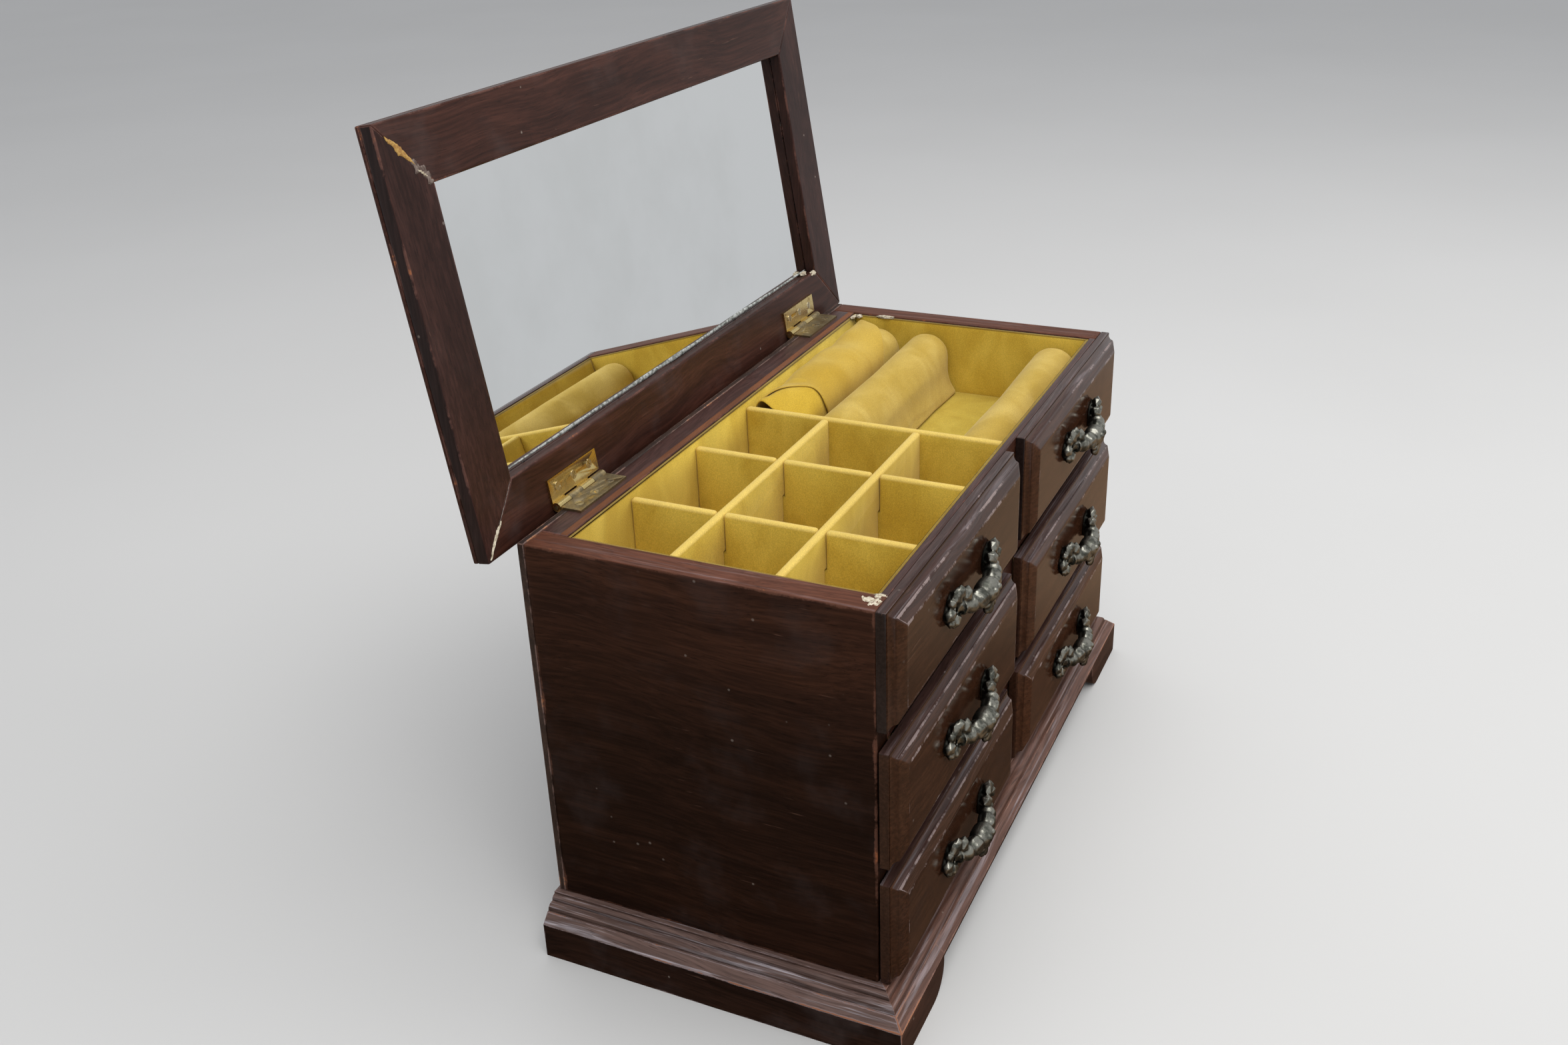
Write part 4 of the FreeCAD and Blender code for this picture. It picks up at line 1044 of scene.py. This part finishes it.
def swollen(name, bm):
    """The form as a skin of cloth, blown up a little by its filling."""
    skin = evened(name, bm, ROLL_VOXEL)
    start = [vert.co.copy() for vert in skin.data.vertices]
    cloth = skin.modifiers.new("cloth", "CLOTH")
    cloth.settings.use_pressure = True
    cloth.settings.uniform_pressure_force = ROLL_PRESSURE
    cloth.settings.effector_weights.gravity = 0
    cloth.settings.quality = 6
    cloth.point_cache.frame_start = 1
    cloth.point_cache.frame_end = SWELL_FRAMES
    for step in range(1, SWELL_FRAMES + 1):
        bpy.context.scene.frame_set(step)
    skin.data = finished_mesh(skin)
    skin.modifiers.clear()
    bpy.context.scene.frame_set(1)
    grown = bmesh.new()
    grown.from_mesh(skin.data)
    bpy.data.objects.remove(skin)
    for vert, place in zip(grown.verts, start):
        move = vert.co - place
        if move.length > ROLL_SWELL:
            vert.co = place + move.normalized() * ROLL_SWELL
    return grown


def rolls():
    """Three pads: the middle one spreads over the floor in front, the back one is sunk under the flap."""
    for place in ("front", "middle", "back"):
        name = "ring_roll_" + place
        low, high = [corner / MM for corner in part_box(name)]
        high.z = low.z + ROLL_HEIGHT
        bm = swollen(name + "_skin", roll_form(low, high))
        floor = low.z * MM
        for vert in bm.verts:
            vert.co.z = max(vert.co.z, floor + 0.02 * MM)
            if place == "middle" and vert.co.y < (low.y + SPREAD_WIDTH) * MM:
                fall = max(0.0, 1 - (vert.co.z - floor) / (SPREAD_HEIGHT * MM))
                vert.co.y -= SPREAD * MM * fall * fall
            if place == "back":
                sunk = SUNK_SHARE * smoothed(SUNK_START * MM - vert.co.x, 0, SUNK_LENGTH * MM)
                vert.co.z -= (vert.co.z - floor) * sunk
        made = piece(name + "_pad", bm, "case", ROLL_VELVET, [name], smooth=ALL_SMOOTH)
        add_rounding(made)


# The loose cover

COVER_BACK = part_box("loose_roll_cover")[1].y / MM - 0.35
COVER_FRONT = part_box("loose_roll_cover")[0].y / MM + 0.45
COVER_SPRING, COVER_RISE, COVER_HEM = 161.0, 15.2, 150.0
COVER_LIMIT, FLAP_LIMIT = 177.0, 176.6
SKIRT = 0.22
VELVET_THICK = 0.7 * MM


def cover_point(across, shrink=0.0, drop=0.0):
    """A point of the cover's section, from its front hem at 0 over the top to its back hem at 1."""
    half = (COVER_BACK - COVER_FRONT) / 2 - shrink
    middle = (COVER_BACK + COVER_FRONT) / 2
    if across < SKIRT:
        return middle - half, COVER_HEM + (COVER_SPRING - COVER_HEM) * across / SKIRT
    if across > 1 - SKIRT:
        return middle + half, COVER_HEM + (COVER_SPRING - COVER_HEM) * (1 - across) / SKIRT
    turn = math.pi * (across - SKIRT) / (1 - 2 * SKIRT)
    sideways = math.copysign(abs(math.cos(turn)) ** 0.72, math.cos(turn))
    rise = (COVER_RISE - shrink - drop) * max(math.sin(turn), 0.0) ** 0.8
    tilt = -0.9 * math.cos(turn) * math.sin(turn)
    return middle - half * sideways, COVER_SPRING + rise + tilt


def draped(name, material, along, across, near, far, shape):
    """A sheet that starts as a flat grid and is laid over the back roll."""
    bm = bmesh.new()
    bmesh.ops.create_grid(bm, x_segments=along, y_segments=across, size=0.5)
    for vert in bm.verts:
        length, width = vert.co.x + 0.5, vert.co.y + 0.5
        x = near(width) + (far(width) - near(width)) * length
        vert.co = shape(x, width)
    bmesh.ops.scale(bm, vec=(MM, MM, MM), verts=bm.verts)
    bmesh.ops.recalc_face_normals(bm, faces=bm.faces)
    if sum(face.normal.z for face in bm.faces) < 0:
        bmesh.ops.reverse_faces(bm, faces=bm.faces)
    made = piece(name, bm, "case", material, ["loose_roll_cover"], smooth=ALL_SMOOTH)
    add_thickness(made, "cloth_thickness", VELVET_THICK)
    add_rounding(made)


def main_cover_shape(x, width):
    """The cover with shallow folds along its crown and a small lip at its near end."""
    y, z = cover_point(width)
    crown = math.sin(math.pi * width)
    z += crown * (0.7 * math.sin(x * 0.11 + 1.0) + 0.5 * math.sin(x * 0.23 + 5 * width))
    near_lip = (1 - smoothed(x, 31, 46)) * (1 - smoothed(width, 0.38, 0.62))
    z += 0.7 * near_lip * crown
    y -= 0.3 * near_lip
    return Vector((x, max(y, COVER_FRONT - 0.4), min(z, COVER_LIMIT)))


def flap_shape(x, width):
    """The flap, falling from the cover's torn end to the roll's near end, with a lip at the back."""
    fall = smoothed(cover_near(width) - x, 0, 24)
    front_side = 1 - smoothed(width, 0.40, 0.72)
    y, z = cover_point(width, 0.72 + 0.15 * front_side + 1.4 * fall, fall * (1.0 + 6.0 * front_side))
    lip = smoothed(20 - x, 0, 8) * smoothed(width, 0.45, 0.62)
    z += 1.3 * lip * math.sin(math.pi * width)
    y += 0.8 * lip
    return Vector((x, min(y, COVER_BACK), min(z, FLAP_LIMIT)))


def cover_near(width):
    """Where the cover's torn near end lies, from its front hem to its back one."""
    return 33.0 - 17.0 * smoothed(width, 0.42, 0.66) + 5.0 * (1 - smoothed(width, 0.15, 0.3))


def cover_far(width):
    """Where the cover's far end lies, from its front hem to its back one."""
    return 102.0 + 25.0 * smoothed(width, 0.2, 0.72)


def flap_near(width):
    return 11.2 + 1.6 * smoothed(width, 0.5, 0.8)


def flap_far(width):
    return 42.0


def loose_cover():
    draped("loose_cover", COVER_VELVET, 44, 40, cover_near, cover_far, main_cover_shape)
    draped("tucked_flap", FLAP_VELVET, 20, 40, flap_near, flap_far, flap_shape)


# Old glue and small damage

def add_lump(bm, spot, size, seed):
    """A crusty lump of dried glue."""
    verts = bmesh.ops.create_icosphere(bm, subdivisions=3, radius=1.0)["verts"]
    shift = Vector((seed * 3.7, seed * 1.3, seed * 2.1))
    for vert in verts:
        ragged = 0.75 + 0.55 * noise.noise(vert.co * 2.1 + shift) + 0.2 * noise.noise(vert.co * 6.0 + shift)
        vert.co = Vector(spot) + Vector([part * ragged * wide for part, wide in zip(vert.co, size)])


def add_ridge(bm, start, end, width, lift, seed, steps=26, taper=0.3, stray=0.9):
    """A thin ragged line of glue or broken finish between two points of one plane, facing -Z."""
    start, end = Vector(start), Vector(end)
    ahead = (end - start).normalized()
    sideways = Vector((-ahead.y, ahead.x, 0))
    verts = bmesh.ops.create_grid(bm, x_segments=steps, y_segments=4, size=0.5)["verts"]
    for vert in verts:
        share = vert.co.x + 0.5
        wander = noise.noise(Vector((share * 5, seed, 0.0)))
        ragged = 0.45 + 0.75 * abs(noise.noise(Vector((share * 9, seed, 4.0))))
        wide = width * ragged * math.sin(math.pi * min(max(share, 0.02), 0.98)) ** taper
        hump = lift * max(0.0, 1 - abs(2 * vert.co.y)) + 0.05
        across = sideways * (wander * width * stray + 2 * vert.co.y * wide)
        vert.co = start.lerp(end, share) + across + Vector((0, 0, -hump))


def mitre_point(edge, share):
    """A point of the left mitre at the lid's front or back edge, from its outer end at 0 to its inner one."""
    inwards = FRAME_WIDTH if edge == LID_FRONT else -FRAME_WIDTH
    return Vector((-LID_HALF, edge, LID_FACE)) + Vector((FRAME_WIDTH, inwards, 0)) * share


def lid_ridges():
    """Glue and broken finish along the two left mitres, and putty at the mirror's lower edge."""
    upper = {share: mitre_point(LID_FRONT, share) for share in (0.2, 0.62, 0.68, 0.76, 0.88, 0.98)}
    lower = {share: mitre_point(LID_BACK, share) for share in (0.05, 0.46, 0.5, 0.95)}
    crack = upper[0.76] - Vector((1.2, 0, 0))
    sill = Vector((0, LID_BACK - FRAME_WIDTH - 1.1, FRAME_TOP))
    along = Vector((LID_HALF - FRAME_WIDTH - 1.0, 0, 0))
    return {
        "upper_mitre_glue": (YELLOW_GLUE, [
            {"start": upper[0.2], "end": upper[0.68], "width": 2.1, "lift": 0.1, "seed": 1.0,
             "taper": 0.9, "stray": 0.25},
        ]),
        "mitre_chips": (CHIPPED, [
            {"start": upper[0.62], "end": upper[0.98], "width": 2.6, "lift": 0.04, "seed": 2.0},
            {"start": lower[0.46], "end": lower[0.95], "width": 0.4, "lift": 0.15, "seed": 6.0},
        ]),
        "mitre_cracks": (GLUE, [
            {"start": crack, "end": upper[0.88], "width": 0.7, "lift": 0.12, "seed": 3.0},
            {"start": lower[0.05], "end": lower[0.5], "width": 1.4, "lift": 0.5, "seed": 5.0,
             "taper": 0.8, "stray": 0.3},
        ]),
        "mirror_edge_putty": (PUTTY, [
            {"start": sill - along, "end": sill + along, "width": 1.5, "lift": 0.3, "seed": 8.0,
             "steps": 160, "stray": 0.2},
        ]),
    }


def old_glue():
    lid_place = LID_OPEN @ TO_METRES
    for name, (material, ridges) in lid_ridges().items():
        bm = bmesh.new()
        for ridge in ridges:
            add_ridge(bm, **ridge)
        bmesh.ops.transform(bm, matrix=lid_place, verts=bm.verts)
        bmesh.ops.recalc_face_normals(bm, faces=bm.faces)
        made = piece(name, bm, "lid", material, smooth=ALL_SMOOTH)
        add_thickness(made, "crust", 0.3 * MM)
    corner = Vector((LID_HALF - FRAME_WIDTH - 2.0, LID_BACK - FRAME_WIDTH + 0.5, LID_FACE + 0.2))
    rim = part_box("left_side_panel")[1].z / MM
    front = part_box("left_side_panel")[0].y / MM
    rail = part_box("back_top_rail")[0].y / MM
    lumps = {
        "mirror_corner_glue": ("lid", lid_place, [
            (corner, (3.2, 1.6, 1.0), 4),
            (corner + Vector((-5.0, -1.2, 3.0)), (3.0, 1.6, 1.6), 5),
        ]),
        "rim_corner_glue": ("case", TO_METRES, [
            ((-134.6, front + 4.6, rim - 0.22), (4.0, 5.0, 0.4), 7),
            ((-132.3, front + 2.4, rim - 0.22), (2.8, 2.4, 0.4), 8),
            ((-138.4, front + 3.4, rim - 0.25), (2.6, 2.2, 0.4), 9),
            ((-136.4, front + 2.0, rim - 0.22), (4.2, 1.9, 0.4), 10),
        ]),
        "tray_corner_glue": ("case", TO_METRES, [
            ((130.4, rail - 16.7, rim - 0.2), (2.0, 5.5, 0.9), 11),
            ((128.6, rail - 3.7, rim - 0.5), (2.4, 2.2, 1.0), 12),
            ((126.0, rail - 1.6, rim - 0.4), (3.5, 1.2, 0.9), 13),
        ]),
    }
    for name, (body, place, drops) in lumps.items():
        bm = bmesh.new()
        for spot, size, seed in drops:
            add_lump(bm, spot, size, seed)
        bmesh.ops.transform(bm, matrix=place, verts=bm.verts)
        piece(name, bm, body, GLUE, smooth=ALL_SMOOTH)


def bare_strip():
    """Unstained wood along the back rail's inner edge."""
    low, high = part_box("back_top_rail")
    bm = box_mesh(Vector((low.x + 0.5 * MM, low.y + 0.3 * MM, high.z - 0.3 * MM)),
                  Vector((high.x - 0.5 * MM, low.y + 3.0 * MM, high.z + 0.12 * MM)))
    soften(bm, 0.1 * MM)
    piece("back_rail_bare_strip", bm, "case", BARE_STRIP)


# Floor, light and camera

PALE = (0.55, 0.56, 0.57)
SKY = (0.60, 0.62, 0.66)
PAINTED_SHADE_REFLECTED, PAINTED_REFLECTION_WARM = (0.072, 0.049, 0.033), (0.33, 0.23, 0.15)
LENS, SENSOR = 34.296, 36.0
CAMERA_LEFT, CAMERA_FRONT, CAMERA_HEIGHT = 0.51968, 0.15201, 0.40513
CAMERA_TURN = (64.03996, 1.99617, -65.18412)


def pale_floor():
    """A plain floor that glossy rays see as an emitted painted reflection: dark as painted shade close by,
    warmer further out, and pale far off and in sharp reflections.
    """
    bm = bmesh.new()
    bmesh.ops.create_grid(bm, x_segments=1, y_segments=1, size=6.0)
    mesh = mesh_of("floor", bm)
    floor = placed("floor", mesh)
    material, tree, shader, place = new_material("pale_floor", Roughness=0.8, Specular_IOR_Level=0.2)
    tone = noise_of(tree, place, 3.0, 3.0)
    tree.links.new(mixed(tree, tone, (0.56, 0.55, 0.53), (0.60, 0.59, 0.57)), shader.inputs["Base Color"])
    away = node(tree, "VectorMath", {0: place}, operation="LENGTH").outputs["Value"]
    # Painted reflection: glossy rays see these glowing colours instead of the floor, with painted shade close
    # to the chest
    near = mixed(tree, remap(tree, away, 0.15, 0.28), PAINTED_SHADE_REFLECTED, PAINTED_REFLECTION_WARM)
    painted_reflection = mixed(tree, remap(tree, away, 0.45, 1.1), near, PALE)
    path = node(tree, "LightPath").outputs
    painted_reflection = mixed(tree, path["Is Singular Ray"], painted_reflection, PALE)
    glow = node(tree, "Emission", {"Color": painted_reflection, "Strength": 1.0})
    mix = node(tree, "MixShader", {0: path["Is Glossy Ray"], 1: shader.outputs[0], 2: glow.outputs[0]})
    tree.links.new(mix.outputs[0], tree.nodes["Material Output"].inputs["Surface"])
    mesh.materials.append(material)


def studio_light():
    world = bpy.data.worlds.new("studio")
    bpy.context.scene.world = world
    world.use_nodes = True
    tree = world.node_tree
    sky = tree.nodes["Background"]
    path = node(tree, "LightPath")
    seen = maths(tree, "MAXIMUM", path.outputs["Is Glossy Ray"], path.outputs["Is Camera Ray"])
    tree.links.new(mixed(tree, seen, SKY, PALE), sky.inputs["Color"])
    lamps = (
        ("overhead", (0.15, -0.25, 1.5), (0.0, 0.0, 0.1), 1.3, 11.5, True),
        ("front_fill", (0.7, -1.4, 0.8), (0.0, 0.0, 0.12), 0.9, 7.0, False),
        ("left_fill", (-0.75, -0.55, 1.35), (0.0, 0.0, 0.15), 0.8, 8.5, False),
    )
    for name, spot, aim, size, power, reflected in lamps:
        data = bpy.data.lights.new(name, "AREA")
        data.shape = "SQUARE"
        data.size = size
        data.energy = power
        lamp = placed(name, data)
        lamp.location = spot
        lamp.rotation_mode = "QUATERNION"
        lamp.rotation_quaternion = (Vector(aim) - Vector(spot)).to_track_quat("-Z", "Y")
        lamp.visible_glossy = reflected


def photo_camera():
    data = bpy.data.cameras.new("camera")
    data.sensor_width = SENSOR
    data.sensor_fit = "HORIZONTAL"
    data.lens = LENS
    data.clip_start = 0.01
    camera = placed("camera", data)
    camera.location = (-CAMERA_LEFT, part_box("left_side_panel")[0].y - CAMERA_FRONT, CAMERA_HEIGHT)
    camera.rotation_euler = [math.radians(angle) for angle in CAMERA_TURN]
    bpy.context.scene.camera = camera
    bpy.context.scene.view_settings.view_transform = "Standard"


carcass()
plinth()
fronts()
tray()
lid()
hinges()
pulls()
rolls()
loose_cover()
old_glue()
bare_strip()
pale_floor()
studio_light()
photo_camera()
